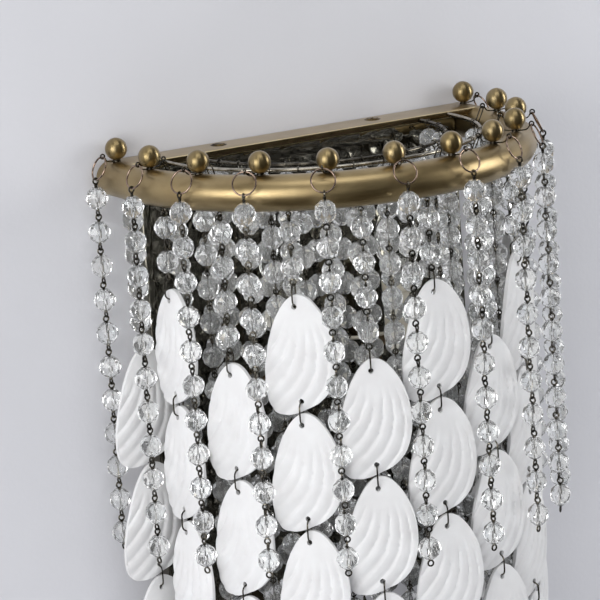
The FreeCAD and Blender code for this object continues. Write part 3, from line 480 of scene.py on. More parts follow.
def block(low, high, bevel, segments=2):
    """A box between two corners with its edges eased."""
    bm = bmesh.new()
    bmesh.ops.create_cube(bm, size=1.0)
    bmesh.ops.scale(bm, verts=bm.verts, vec=[(b - a) * MM for a, b in zip(low, high)])
    middle = [(a + b) / 2 * MM for a, b in zip(low, high)]
    bmesh.ops.translate(bm, verts=bm.verts, vec=middle)
    if bevel:
        bmesh.ops.bevel(
            bm, geom=bm.edges[:], offset=bevel * MM, offset_type="OFFSET", affect="EDGES",
            segments=segments, profile=0.5, material=-1,
        )
    return to_mesh(bm)


def turned(profile):
    """A profile of (radius, height) in millimetres, turned about Z as on a lathe."""
    bm = bmesh.new()
    dots = [bm.verts.new((r * MM, 0, z * MM)) for r, z in profile]
    for a, b in zip(dots, dots[1:]):
        bm.edges.new((a, b))
    bmesh.ops.spin(
        bm, geom=bm.verts[:] + bm.edges[:], cent=(0, 0, 0), axis=(0, 0, 1), angle=2 * math.pi,
        steps=40, use_merge=True,
    )
    outward_faces(bm)
    return to_mesh(bm)


# Places on the rim's path: local +X points out of the rim, local +Y runs to the right


def path_length(radius):
    return 2 * RIM_LEG + math.pi * radius


def place_on_path(radius, run, level, inset=0.0):
    """A place after a run along two legs and a half circle of this radius."""
    whole = path_length(radius)
    if run < RIM_LEG:
        spot, turn = Vector((-radius, -run, level)), 180.0
    elif run > whole - RIM_LEG:
        spot, turn = Vector((radius, run - whole, level)), 360.0
    else:
        bend = (run - RIM_LEG) / radius
        spot = Vector((-radius * math.cos(bend), -RIM_LEG - radius * math.sin(bend), level))
        turn = 180.0 + math.degrees(bend)
    return moved(*spot) @ spun(turn) @ moved(-inset)


def on_rim(run, level, inset=0.0):
    return place_on_path(RIM_RADIUS, run, level, inset)


ball_step = (path_length(RIM_RADIUS) - 2 * BALL_MARGIN) / (BALLS - 1)
ball_runs = [BALL_MARGIN + k * ball_step for k in range(BALLS)]

joints = {joint["child"]: joint for joint in frame["joints"]}


def hanger_of(body):
    """The body's hinge, with local +X to where a positive swing carries it."""
    joint = joints[body]
    axis = joint["axis"]
    outward = Matrix.Rotation(math.atan2(axis[0], -axis[1]), 4, "Z")
    return Matrix.Translation(joint["pos_m"]) @ outward


# Wire work


def wire_loop(radius, thick=WIRE_RADIUS, around=14, across=6):
    """A closed loop in the XZ plane, its centre at the origin."""
    bm = bmesh.new()
    made = bmesh.ops.create_circle(bm, segments=across, radius=thick * MM)
    bmesh.ops.translate(bm, verts=made["verts"], vec=(radius * MM, 0, 0))
    bmesh.ops.spin(
        bm, geom=bm.verts[:] + bm.edges[:], cent=(0, 0, 0), axis=(0, 1, 0), angle=2 * math.pi,
        steps=around, use_merge=True,
    )
    outward_faces(bm)
    return to_mesh(bm)


def wire_coil(radius, thick, turns, around, across):
    """Wire wound about the Z axis, turn on turn, upwards from the origin."""
    bm = bmesh.new()
    made = bmesh.ops.create_circle(bm, segments=across, radius=thick * MM, cap_ends=True)
    turn_dots(bm, made["verts"], 90.0, "X")
    bmesh.ops.translate(bm, verts=made["verts"], vec=(radius * MM, 0, thick * MM))
    bmesh.ops.spin(
        bm, geom=bm.verts[:] + bm.edges[:] + bm.faces[:], cent=(0, 0, 0), axis=(0, 0, 1),
        dvec=(0, 0, 2 * thick * MM / around), angle=2 * math.pi * turns,
        steps=int(around * turns),
    )
    bmesh.ops.recalc_face_normals(bm, faces=bm.faces)
    return to_mesh(bm)


def bent_wire(points):
    """A smooth wire through the air along its points, in millimetres."""
    curve = bpy.data.curves.new("wire", "CURVE")
    curve.dimensions = "3D"
    curve.bevel_depth = WIRE_RADIUS * MM
    curve.bevel_resolution = 1
    curve.use_fill_caps = True
    line = curve.splines.new("NURBS")
    line.points.add(len(points) - 1)
    for dot, spot in zip(line.points, points):
        dot.co = [c * MM for c in spot] + [1.0]
    line.order_u = 3
    line.use_endpoint_u = True
    line.resolution_u = 4
    holder = bpy.data.objects.new("wire", curve)
    mesh = bpy.data.meshes.new_from_object(holder)
    bpy.data.objects.remove(holder)
    bpy.data.curves.remove(curve)
    bm = bmesh.new()
    bm.from_mesh(mesh)
    bpy.data.meshes.remove(mesh)
    outward_faces(bm)
    return to_mesh(bm)


def oval_link(length, bend, thick=WIRE_RADIUS):
    """Closed link in the XZ plane, its upper wire's centre at the origin."""
    bm = bmesh.new()
    made = bmesh.ops.create_circle(bm, segments=6, radius=thick * MM)
    bmesh.ops.translate(bm, verts=made["verts"], vec=(bend * MM, 0, -bend * MM))
    run = length - 2 * bend
    start = bm.edges[:]
    for centre, shift in ((-bend, -run), (-bend - run, run)):
        arc = bmesh.ops.spin(
            bm, geom=start, cent=(0, 0, centre * MM), axis=(0, -1, 0), angle=math.pi, steps=8
        )
        slid = bmesh.ops.extrude_edge_only(bm, edges=edges_in(arc["geom_last"]))
        bmesh.ops.translate(bm, verts=verts_in(slid["geom"]), vec=(0, 0, shift * MM))
        start = edges_in(slid["geom"])
    outward_faces(bm)
    return to_mesh(bm)


pin_loop = wire_loop(LOOP_RADIUS, PIN_LOOP_WIRE, 12, 5)
inner_link = oval_link(LINK_LENGTH, LINK_BEND)
shell_link = oval_link(SHELL_LINK_LENGTH, SHELL_LINK_BEND, EYE_WIRE)

WINDING_WIDE = 1.35
WINDING_NARROW = 1.0


def eye_pin(extra):
    """Pin through a bead at the origin, wire wound at each neck.

    Its loop above lies across X, the one below across Y.
    """
    half = BEAD_HEIGHT / 2
    top = half + NECK + extra
    bottom = half + NECK
    above = rod(WINDING_NARROW, half - 0.1, top - LOOP_RADIUS, 6, WINDING_WIDE)
    below = rod(WINDING_WIDE, -bottom + LOOP_RADIUS, 0.1 - half, 6, WINDING_NARROW)
    return gathered([
        (rod(WIRE_RADIUS, -bottom + LOOP_RADIUS, top - LOOP_RADIUS, 5), Matrix()),
        (pin_loop, moved(z=top)),
        (pin_loop, moved(z=-bottom) @ spun(90)),
        (above, Matrix()),
        (below, Matrix()),
    ])


# Cut crystal beads: rings of eight corners as (radius, level, turn), facets between them

BEAD_RINGS = (
    (3.4, 7.5, 0.0), (6.7, 4.5, 22.5), (7.86, 0.9, 0.0),
    (7.86, -0.9, 0.0), (6.7, -4.5, 22.5), (3.4, -7.5, 0.0),
)
CHANNEL_RADIUS = 0.8
CHANNEL_LENGTH = 14.8
# Most that a bead leans on its pin, in degrees
BEAD_LEAN = 2.6


def cut_bead(bored):
    """The hull of its rings; a bored bead has its channel inside."""
    bm = bmesh.new()
    for radius, level, turn in BEAD_RINGS:
        made = bmesh.ops.create_circle(bm, segments=8, radius=radius * MM)
        turn_dots(bm, made["verts"], turn, "Z")
        bmesh.ops.translate(bm, verts=made["verts"], vec=(0, 0, level * MM))
    bmesh.ops.delete(bm, geom=bm.edges[:], context="EDGES_FACES")
    bmesh.ops.convex_hull(bm, input=bm.verts[:])
    bmesh.ops.dissolve_limit(
        bm, angle_limit=math.radians(0.5), verts=bm.verts[:], edges=bm.edges[:]
    )
    bmesh.ops.recalc_face_normals(bm, faces=bm.faces)
    if bored:
        made = bmesh.ops.create_cone(
            bm, cap_ends=True, segments=6, radius1=CHANNEL_RADIUS * MM,
            radius2=CHANNEL_RADIUS * MM, depth=CHANNEL_LENGTH * MM,
        )
        channel = list({face for dot in made["verts"] for face in dot.link_faces})
        bmesh.ops.reverse_faces(bm, faces=channel)
    return to_mesh(bm)


bored_bead = cut_bead(True)
curtain_bead = cut_bead(False)


def strand_meshes(centres, first_extra, seed):
    """Beads and pins down one line; each bead sits a little turned and tilted on its pin."""
    luck = random.Random(seed)
    beads = []
    pins = []
    for k, centre in enumerate(centres):
        sway = moved(z=centre) @ (tipped(luck, BEAD_LEAN) if k else Matrix())
        beads.append((bored_bead, sway @ spun(luck.uniform(0, 45))))
        pins.append((eye_pin(0.0 if k else first_extra), sway))
    return beads, pins


# Outer strands

ring_turn = spun(-RING_TILT, "Y") @ moved(z=-RING_RADIUS) @ spun(90)
ring_mesh = repeated(wire_loop(RING_RADIUS, RING_WIRE, 48, 8), [ring_turn])
across_ring = 2 * RING_RADIUS * math.sin(math.radians(RING_TILT))
down_ring = 2 * RING_RADIUS * math.cos(math.radians(RING_TILT))
first_bead = (
    -down_ring + WIRE_HANG - LOOP_RADIUS - NECK - FIRST_PIN_EXTRA - BEAD_HEIGHT / 2
)
strand_centres = [first_bead - j * BEAD_PITCH for j in range(STRAND_BEADS)]

for k in range(BALLS):
    body = "strand_%02d" % (k + 1)
    hanger = hanger_of(body)
    beads, pins = strand_meshes(strand_centres, FIRST_PIN_EXTRA, 40 + k)
    line = hanger @ moved(x=across_ring)
    finish_piece(body + "_beads", gathered(beads, line), strand_crystal, body, [body])
    finish_piece(body + "_pins", gathered(pins, line), dark_wire, body, [body], 50)
    finish_piece(
        body + "_ring", repeated(ring_mesh, [hanger]), ring_wire, body, [body], 60
    )


# Porcelain shells

# Outline from the upper hole, in shares of width and height
SHELL_OUTLINE = [
    (0.035, 0.103), (0.165, 0.078), (0.285, 0.005), (0.40, -0.112), (0.475, -0.244),
    (0.505, -0.390), (0.485, -0.546), (0.40, -0.692), (0.25, -0.789), (0.05, -0.853),
    (-0.16, -0.894), (-0.345, -0.891), (-0.455, -0.818), (-0.495, -0.682), (-0.475, -0.497),
    (-0.405, -0.302), (-0.315, -0.136), (-0.20, -0.005), (-0.08, 0.076),
]
# The middle from which the grid is drawn out to the outline, down the height
SHELL_MIDDLE = -0.42
# The fired edge lies a little inside the drawn outline, and is rounded
OUTLINE_EASE = 0.985
SHELL_EDGE = 1.1
# The valleys between the ribs: how far right of the hole each runs, at levels below it
FLUTE_TOP = -10.0
FLUTE_STEP = 12.0
FLUTES = [
    (-12.5, -21.0, -34.0, -48.0, -62.0, -76.0, -90.0),
    (-7.8, -13.0, -22.0, -34.0, -48.0, -62.0, -76.0),
    (-3.2, -5.0, -10.0, -20.0, -33.0, -47.0, -61.0),
    (1.6, 1.4, -1.0, -7.5, -19.0, -33.0, -47.0),
    (6.6, 7.4, 6.6, 3.0, -6.0, -19.0, -33.0),
    (11.0, 13.6, 14.2, 12.4, 6.0, -5.5, -19.0),
    (15.5, 19.5, 21.5, 21.0, 17.0, 7.5, -5.5),
    (20.0, 24.6, 27.4, 28.4, 26.5, 19.5, 8.0),
    (24.5, 30.0, 33.5, 35.5, 35.0, 30.5, 21.0),
]
FLUTE_DEPTH = 1.35
FLUTES_START = 6.0
FLUTES_FULL = 28.0


def smooth_step(low, high, value):
    share = min(max((value - low) / (high - low), 0.0), 1.0)
    return share * share * (3 - 2 * share)


def outline_points(count):
    """Even points round the outline, on a closed smooth line through its corners."""
    corners = [Vector((u * SHELL_WIDTH, v * SHELL_HEIGHT)) for u, v in SHELL_OUTLINE]
    dots = []
    steps = 24
    for k in range(len(corners)):
        a, b, c, d = (corners[(k + j) % len(corners)] for j in (-1, 0, 1, 2))
        for j in range(steps):
            t = j / steps
            dots.append(0.5 * (
                2 * b + (c - a) * t + (2 * a - 5 * b + 4 * c - d) * t**2
                + (3 * b - a - 3 * c + d) * t**3
            ))
    lengths = [0.0]
    for k in range(len(dots)):
        lengths.append(lengths[-1] + (dots[(k + 1) % len(dots)] - dots[k]).length)
    even = []
    k = 0
    for j in range(count):
        want = lengths[-1] * j / count
        while lengths[k + 1] < want:
            k += 1
        share = (want - lengths[k]) / (lengths[k + 1] - lengths[k])
        even.append(dots[k].lerp(dots[(k + 1) % len(dots)], share))
    return even


def flute_height(u, v):
    """How deep the face lies below its crests: soft valleys with a quick rise on their right."""
    place = min(max((FLUTE_TOP - v) / FLUTE_STEP, 0.0), len(FLUTES[0]) - 1.001)
    row = int(place)
    part = place - row
    lines = [flute[row] * (1 - part) + flute[row + 1] * part for flute in FLUTES]
    if u <= lines[0] or u >= lines[-1]:
        return 0.0
    k = max(j for j in range(len(lines)) if lines[j] <= u)
    share = (u - lines[k]) / (lines[k + 1] - lines[k])
    valley = (1 - math.sin(math.pi * share**0.62)) ** 1.3
    return FLUTE_DEPTH * valley * smooth_step(FLUTES_START, FLUTES_FULL, -v)


def shell_mesh():
    """A bowed, fluted face and a plain back, drawn out to the outline and joined at the edge.

    The edge is rounded, and two holes take the wire.
    """
    bm = bmesh.new()
    middle = Vector((0.0, SHELL_MIDDLE * SHELL_HEIGHT))
    reach = {}
    for dot in outline_points(720):
        arm = dot - middle
        reach[int(math.degrees(math.atan2(arm.y, arm.x)) * 2) % 720] = arm.length
    known = sorted(reach)

    def edge_at(angle):
        want = math.degrees(angle) * 2 % 720
        above = next((k for k in known if k >= want), known[0])
        below = max((k for k in known if k < want), default=known[-1])
        gap = (above - below) % 720
        share = ((want - below) % 720) / gap if gap else 0.0
        return reach[below] * (1 - share) + reach[above] * share

    bmesh.ops.create_grid(bm, x_segments=42, y_segments=54, size=1.0)
    bow = SHELL_HOLE_SPAN / 2
    face = SHELL_WALL / 2 + SHELL_BOW_RADIUS - math.sqrt(SHELL_BOW_RADIUS**2 - bow**2)
    back = bmesh.ops.duplicate(bm, geom=bm.verts[:] + bm.edges[:] + bm.faces[:])
    back_dots = set(verts_in(back["geom"]))
    for dot in bm.verts:
        x = dot.co.x * math.sqrt(1 - dot.co.y**2 / 2)
        y = dot.co.y * math.sqrt(1 - dot.co.x**2 / 2)
        angle = math.atan2(y, x)
        arm = edge_at(angle) * min(math.hypot(x, y), 1.0) * OUTLINE_EASE
        u = middle.x + arm * math.cos(angle)
        v = middle.y + arm * math.sin(angle)
        rise = face - (v + bow) ** 2 / (2 * SHELL_BOW_RADIUS) - u**2 / (2 * SHELL_BULGE_RADIUS)
        rise -= SHELL_WALL if dot in back_dots else flute_height(u, v)
        dot.co = Vector((rise, u, v)) * MM
    open_edges = [one for one in bm.edges if len(one.link_faces) == 1]
    bmesh.ops.bridge_loops(bm, edges=open_edges)
    bmesh.ops.recalc_face_normals(bm, faces=bm.faces)
    rim = [
        one for one in bm.edges
        if len(one.link_faces) == 2 and one.calc_face_angle() > math.radians(60)
    ]
    bmesh.ops.bevel(
        bm, geom=rim, offset=SHELL_EDGE * MM, offset_type="OFFSET", affect="EDGES", segments=3,
        profile=0.5, material=-1, clamp_overlap=True,
    )
    drills = []
    for level in (0.0, -SHELL_HOLE_SPAN):
        drill = rod(SHELL_HOLE_RADIUS, -12.0, 12.0, 24)
        drill.transform(moved(z=level) @ spun(90, "Y"))
        drills.append(drill)
    return cut_through(to_mesh(bm), drills)


shell = shell_mesh()
SHELL_LEAN = 0.9

for k in range(COLUMNS):
    body = "column_%02d" % (k + 1)
    hanger = hanger_of(body)
    lead = SHORT_LEAD if k % 2 else LONG_LEAD
    start = WIRE_HANG - LOOP_RADIUS - NECK + NECK_TRIM - BEAD_HEIGHT / 2
    centres = [start - j * BEAD_PITCH for j in range(lead)]
    first_link = centres[-1] - BEAD_HEIGHT / 2 - NECK - LOOP_RADIUS + WIRE_HANG
    hole = first_link - SHELL_LINK_LENGTH - HOLE_DROP
    beads, pins = strand_meshes(centres, -NECK_TRIM, 70 + k)
    links = [(shell_link, moved(z=first_link - j * SHELL_PITCH)) for j in range(COLUMN_SHELLS)]
    luck = random.Random(90 + k)
    shells = []
    for j in range(COLUMN_SHELLS):
        lean = luck.uniform(-SHELL_LEAN, SHELL_LEAN)
        if k in (0, COLUMNS - 1) or j == COLUMN_SHELLS - 1:
            lean = 0.0
        shells.append((shell, moved(z=hole - j * SHELL_PITCH) @ spun(lean, "X")))
    finish_piece(
        body + "_lead_beads", gathered(beads, hanger), strand_crystal, body, [body + "_lead"],
    )
    finish_piece(
        body + "_lead_wires", gathered(pins + links, hanger), dark_wire, body,
        [body + "_lead"], 50,
    )
    finish_piece(
        body + "_shells_fluted", gathered(shells, hanger), porcelain, body,
        [body + "_shells"], 40,
    )


# Inner curtain

KNOT_RADIUS = 1.9
KNOT_SHIFT = 1.4
HOOP_LOOP_RADIUS = 2.6
CURTAIN_LEAN = 3.0
KNOT_TURN = 30.0


def curtain_strand(loop_radius, support_radius, play, seed):
    """Beads and wire of one curtain strand, from its support's centre."""
    luck = random.Random(seed)
    centre = support_radius + play + WIRE_RADIUS - loop_radius
    first = centre - loop_radius - WIRE_RADIUS - NECK / 2 - BEAD_HEIGHT / 2
    end = first - (CURTAIN_BEADS - 1) * BEAD_PITCH - BEAD_HEIGHT / 2 - NECK
    knot = wire_loop(KNOT_RADIUS, EYE_WIRE, 7, 4)
    beads = []
    wires = [
        (wire_loop(loop_radius, WIRE_RADIUS, 12, 5), moved(z=centre)),
        (rod(WIRE_RADIUS, end, centre - loop_radius, 4), Matrix()),
    ]
    for k in range(CURTAIN_BEADS):
        level = first - k * BEAD_PITCH
        lean = tipped(luck, CURTAIN_LEAN)
        beads.append((curtain_bead, moved(z=level) @ lean @ spun(luck.uniform(0, 45))))
        below = level - BEAD_PITCH / 2
        for start, shift in ((0, KNOT_SHIFT), (90, -KNOT_SHIFT)):
            turn = start + luck.uniform(-KNOT_TURN, KNOT_TURN)
            wires.append((knot, moved(z=below + shift) @ spun(turn)))
    wires.pop()
    return gathered(beads), gathered(wires)


inner_kinds = [curtain_strand(LOOP_RADIUS, WIRE_RADIUS, 0.2, 200 + k) for k in range(4)]
hoop_kinds = [curtain_strand(HOOP_LOOP_RADIUS, HOOP_RADIUS, 0.1, 300 + k) for k in range(5)]

link_level = BALL_LEVEL - HOOK_EYE_DROP - HOOK_EYE_RADIUS + WIRE_HANG
link_lean = math.radians(LINK_LEAN)
link_foot = link_level - LINK_LENGTH * math.cos(link_lean)
foot_inset = HOOK_REACH + LINK_LENGTH * math.sin(link_lean)
inner_runs = ball_runs[1:-1]
link_places = [
    on_rim(run, link_level, HOOK_REACH) @ spun(LINK_LEAN, "Y") @ spun(90) for run in inner_runs
]
finish_piece(
    "inner_link_wires", repeated(inner_link, link_places), dark_wire, "fixture",
    ["inner_links"], 50,
)


def hang_curtain(name, cad_node, kinds, places):
    beads = [(kinds[k % len(kinds)][0], place) for k, place in enumerate(places)]
    wires = [(kinds[k % len(kinds)][1], place) for k, place in enumerate(places)]
    finish_piece(
        name + "_beads", gathered(beads), curtain_crystal, "fixture", [cad_node]
    )
    finish_piece(
        name + "_wires", gathered(wires), dark_wire, "fixture", [cad_node], 50
    )


hang_curtain(
    "inner_strand", "inner_strands", inner_kinds,
    [on_rim(run, link_foot, foot_inset) for run in inner_runs],
)

front_places = [
    on_rim(run + ball_step / 2, FRONT_HOOP_LEVEL, FRONT_HOOP_INSET) for run in ball_runs[1:-2]
]
back_radius = RIM_RADIUS - BACK_HOOP_INSET
back_start = BAR_DEPTH + BACK_HOOP_MARGIN
back_span = path_length(back_radius) - 2 * back_start
back_gaps = int(back_span / BACK_STRAND_GAP)
back_places = [
    place_on_path(back_radius, back_start + k * back_span / back_gaps, BACK_HOOP_LEVEL)
    for k in range(back_gaps + 1)
]
hang_curtain("hoop_strand", "hoop_strands", hoop_kinds, front_places + back_places)


# Rim tube and hoops, bent from straight stock


def bent_tube(radius, thick, level, start, steps, across):
    """Two straight legs and a half circle, closed at both ends."""
    bm = bmesh.new()
    bmesh.ops.create_circle(bm, segments=across, radius=thick * MM)
    turn_dots(bm, bm.verts, 90.0, "X")
    bmesh.ops.translate(bm, verts=bm.verts, vec=(-radius * MM, -start * MM, level * MM))
    slide = Vector((0, -(RIM_LEG - start) * MM, 0))
    leg = bmesh.ops.extrude_edge_only(bm, edges=bm.edges[:])["geom"]
    bmesh.ops.translate(bm, verts=verts_in(leg), vec=slide)
    arc = bmesh.ops.spin(
        bm, geom=edges_in(leg), cent=(0, -RIM_LEG * MM, 0), axis=(0, 0, 1), angle=math.pi,
        steps=steps,
    )
    leg = bmesh.ops.extrude_edge_only(bm, edges=edges_in(arc["geom_last"]))["geom"]
    bmesh.ops.translate(bm, verts=verts_in(leg), vec=-slide)
    bmesh.ops.holes_fill(bm, edges=bm.edges, sides=0)
    outward_faces(bm)
    return to_mesh(bm)


def bent_hoop(radius, level):
    return bent_tube(radius, HOOP_RADIUS, level, BAR_DEPTH, 72, 12)


finish_piece(
    "rim_tube_brushed", bent_tube(RIM_RADIUS, TUBE_RADIUS, TUBE_LEVEL, 0.0, 96, 64), brass_tube,
    "fixture", ["rim_tube"], 50,
)
# The front hoop's paler wire is painted light; the back hoop keeps the dark wire
finish_piece(
    "front_hoop_drawn", bent_hoop(RIM_RADIUS - FRONT_HOOP_INSET, FRONT_HOOP_LEVEL), hoop_wire_painted_light,
    "fixture", ["inner_hoops"], 50,
)
finish_piece(
    "back_hoop_drawn", bent_hoop(back_radius, BACK_HOOP_LEVEL), dark_wire, "fixture",
    ["inner_hoops"], 50,
)


# Balls, their hooks and the eyes of the columns

BALL_SEAT = 7.75


def spun_ball():
    """A ball on a flat seat, its map wound round Z as the lathe brushed it."""
    bm = bmesh.new()
    bm.loops.layers.uv.new(LATHE_MAP)
    bmesh.ops.create_uvsphere(
        bm, u_segments=48, v_segments=32, radius=BALL_RADIUS * MM, calc_uvs=True
    )
    bmesh.ops.bisect_plane(
        bm, geom=bm.verts[:] + bm.edges[:] + bm.faces[:], plane_co=(0, 0, -BALL_SEAT * MM),
        plane_no=(0, 0, -1), clear_outer=True,
    )
    bmesh.ops.holes_fill(bm, edges=bm.edges, sides=0)
    outward_faces(bm)
    return to_mesh(bm)


ball_places = [on_rim(run, BALL_LEVEL) for run in ball_runs]
finish_piece(
    "finial_balls_spun", repeated(spun_ball(), ball_places), brass_balls, "fixture",
    ["finial_balls"], 50,
)

COIL_RADIUS = 2.15
COIL_END_RADIUS = 2.5
KNOT_ROUND_EYE = 0.85
# Where the wire meets its eye, in shares of the eye's radius
MEETING = 0.72

seat_coil = wire_coil(COIL_RADIUS, WIRE_RADIUS, 1.0, 18, 6)
seat_ring = wire_loop(COIL_END_RADIUS, WIRE_RADIUS, 18, 6)
hook_eye = wire_loop(HOOK_EYE_RADIUS, EYE_WIRE, 14, 6)
hook_knot = wire_loop(KNOT_ROUND_EYE, HOOK_KNOT_WIRE, 10, 5)
seat_level = -BALL_RADIUS - 2 * WIRE_RADIUS


def hook(share, inner):
    """Wire coiled under the ball, each arm rising from the coil to its eye."""
    low = seat_level + WIRE_RADIUS
    parts = [(seat_coil, moved(z=seat_level)), (seat_ring, moved(z=low) @ spun(90, "X"))]
    ends = [(HOOK_REACH, share * HOOK_REACH)] + ([(-HOOK_REACH, 0.0)] if inner else [])
    slope = HOOK_EYE_RADIUS * MEETING
    for reach, aside in ends:
        side = math.copysign(1.0, reach)
        aim = Vector((reach, aside)).normalized()
        points = [
            (aim.x * 2.3, aim.y * 2.3, low),
            (aim.x * 5.0, aim.y * 5.0, low + 0.1),
            (reach - side * slope * 3.0, aside * 0.75, low + 0.5),
            (reach - side * slope * 1.6, aside, -HOOK_EYE_DROP - HOOK_EYE_RADIUS * 1.2),
            (reach - side * slope, aside, -HOOK_EYE_DROP - slope),
        ]
        knot = moved(reach - side * slope * 1.35, aside, -HOOK_EYE_DROP - slope * 1.25)
        parts.append((bent_wire(points), Matrix()))
        parts.append((hook_eye, moved(reach, aside, -HOOK_EYE_DROP)))
        parts.append((hook_knot, knot @ spun(-45 * side, "Y") @ spun(90, "X")))
    return gathered(parts)


hooks = [(hook(STRAND_SIDE[k], 0 < k < BALLS - 1), ball_places[k]) for k in range(BALLS)]
finish_piece(
    "hook_wires_bent", gathered(hooks), dark_wire, "fixture", ["hook_wires"], 50
)

column_loop = wire_loop(HOOK_EYE_RADIUS, COLUMN_EYE_WIRE, 14, 6)
column_eye = gathered([
    (rod(1.0, -0.2, 4.0, 10), Matrix()),
    (column_loop, moved(z=-WIRE_RADIUS - HOOK_EYE_RADIUS) @ spun(90)),
])
eye_places = []
for k in range(COLUMNS):
    spot = hanger_of("column_%02d" % (k + 1))
    rise = TUBE_LEVEL - TUBE_RADIUS - spot.translation.z / MM
    eye_places.append(spot @ moved(z=rise))
finish_piece(
    "column_eyes_bent", repeated(column_eye, eye_places), dark_wire, "fixture",
    ["column_eyes"], 50,
)


# Wall bar with its screws

BAR_EASE = 0.9
RECESS_RADIUS = 6.2
RECESS_DEPTH = 3.6

bar = block(
    (-RIM_RADIUS, -BAR_DEPTH, CREST_LEVEL - BAR_THICK), (RIM_RADIUS, 0.0, CREST_LEVEL),
    BAR_EASE, 3,
)
sinks = []
for side in (-1, 1):
    recess = rod(2.6, -RECESS_DEPTH, 0.1, 32, RECESS_RADIUS)
    for tool in (recess, rod(BAR_SCREW_HOLE, -8.0, -3.0, 24)):
        tool.transform(moved(side * BAR_SCREW_SIDE, -BAR_SCREW_OUT, CREST_LEVEL))
        sinks.append(tool)
wall_bar = finish_piece(
    "wall_bar_eased", cut_through(bar, sinks), brass_bar, "fixture", ["wall_bar"],
    35,
)
# Its front face and the recesses are painted dark as shade, its long front edges painted pale as
# a highlight
wall_bar.data.materials.append(bar_painted_shade)
wall_bar.data.materials.append(bar_painted_highlight)
for face in wall_bar.data.polygons:
    from_screw = math.hypot(
        abs(face.center.x) - BAR_SCREW_SIDE * MM, face.center.y + BAR_SCREW_OUT * MM
    )
    if face.normal.y < -0.9 or from_screw < (RECESS_RADIUS + 0.05) * MM:
        face.material_index = 1
    elif face.normal.y < -0.2 and abs(face.normal.z) > 0.2:
        face.material_index = 2


def bar_screw():
    """Raised countersunk screw with a slot and a turned groove on its low dome."""
    head = turned([
        (0.0, -3.4), (2.5, -3.4), (5.4, -0.3), (5.5, 0.0), (5.3, 0.35), (4.6, 0.6),
        (4.3, 0.1), (3.8, 0.1), (3.5, 0.75), (2.4, 1.05), (0.0, 1.2),
    ])
    shank = rod(2.5, -14.0, -3.2, 20)
    slot = block((-4.2, -0.6, -0.6), (4.2, 0.6, 2.0), 0.0)
    return gathered([(cut_through(head, [slot]), Matrix()), (shank, Matrix())])


screw_places = [
    moved(side * BAR_SCREW_SIDE, -BAR_SCREW_OUT, CREST_LEVEL) @ spun(20 + 30 * side)
    for side in (-1, 1)
]
finish_piece(
    "bar_screws_slotted", repeated(bar_screw(), screw_places), screw_brass, "fixture",
    ["bar_screws"], 35,
)


# Back box

BOX_FOLD = 1.4


def back_tray():
    """A pressed tray of 1 mm sheet, open to the wall, its folds rounded."""
    bm = bmesh.new()
    bmesh.ops.create_cube(bm, size=1.0)
    bmesh.ops.scale(
        bm, verts=bm.verts, vec=(2 * BOX_HALF * MM, BOX_DEPTH * MM, BOX_HEIGHT * MM)
    )
    bmesh.ops.translate(
        bm, verts=bm.verts, vec=(0, -BOX_DEPTH / 2 * MM, (BOX_TOP - BOX_HEIGHT / 2) * MM)
    )
    open_side = [face for face in bm.faces if face.normal.y > 0.5]
    bmesh.ops.delete(bm, geom=open_side, context="FACES")
    folds = [edge for edge in bm.edges if len(edge.link_faces) == 2]
    bmesh.ops.bevel(
        bm, geom=folds, offset=BOX_FOLD * MM, offset_type="OFFSET", affect="EDGES", segments=4,
        profile=0.5, material=-1,
    )
    bmesh.ops.recalc_face_normals(bm, faces=bm.faces)
    if sum(face.normal.y * face.calc_area() for face in bm.faces) > 0:
        bmesh.ops.reverse_faces(bm, faces=bm.faces)
    bmesh.ops.solidify(bm, geom=bm.faces[:], thickness=-BOX_SHEET * MM)
    bmesh.ops.recalc_face_normals(bm, faces=bm.faces)
    return to_mesh(bm)


# Holes for studs and lamp screws in the tray's face, for the bar's screws in its top, and
# for the lamp leads
tray_holes = []
for side in (-1, 1):
    for x, level in (
        (BOX_STUD_SIDE, BOX_STUD_LEVEL), (LAMP_SIDE, LAMP_SEAT - LAMP_SCREW_DROP)
    ):
        tool = rod(BOX_STUD_HOLE, -30.0, 30.0, 20)
        tool.transform(moved(side * x, -BOX_DEPTH, level) @ spun(90, "X"))
        tray_holes.append(tool)
    tool = rod(BAR_SCREW_HOLE, -10.0, 10.0, 20)
    tool.transform(moved(side * BAR_SCREW_SIDE, -BAR_SCREW_OUT, BOX_TOP))
    tray_holes.append(tool)
tool = rod(CABLE_HOLE, -5.0, 5.0, 32)
tool.transform(moved(0.0, -BOX_DEPTH, CABLE_HOLE_LEVEL) @ spun(90, "X"))
tray_holes.append(tool)
finish_piece(
    "back_box_polished", cut_through(back_tray(), tray_holes), shaded_mirror_steel, "fixture",
    ["back_box"], 35,
)


# Lamps

candle = turned([
    (0.0, 0.0), (6.3, 0.0), (6.5, 1.2), (7.2, 4.0), (11.0, 10.0), (15.0, 17.0), (17.2, 24.0),
    (17.3, 28.0), (16.2, 35.0), (13.8, 43.0), (10.8, 51.0), (7.6, 59.0), (4.6, 66.0),
    (2.4, 71.0), (1.0, 73.4), (0.0, 73.9),
])
holder = turned([
    (0.0, 0.0), (12.2, 0.0), (12.9, 0.8), (12.9, 8.0), (12.3, 8.8), (12.3, 40.0),
    (12.9, 40.8), (12.9, 47.2), (12.2, 47.9), (7.6, 47.9), (7.35, 47.4), (7.35, 22.0),
    (0.0, 22.0),
])


def at_lamps(level):
    return [moved(side * LAMP_SIDE, -LAMP_OUT, level) for side in (-1, 1)]


finish_piece(
    "bulbs_candle", repeated(candle, at_lamps(LAMP_SEAT + HOLDER_HEIGHT)), bulb_glass,
    "fixture", ["bulbs"], 40,
)
finish_piece(
    "lamp_holders_turned", repeated(holder, at_lamps(LAMP_SEAT)), holder_plastic, "fixture",
    ["lamp_holders"], 35,
)


# Solids that keep their own shape get their finishes

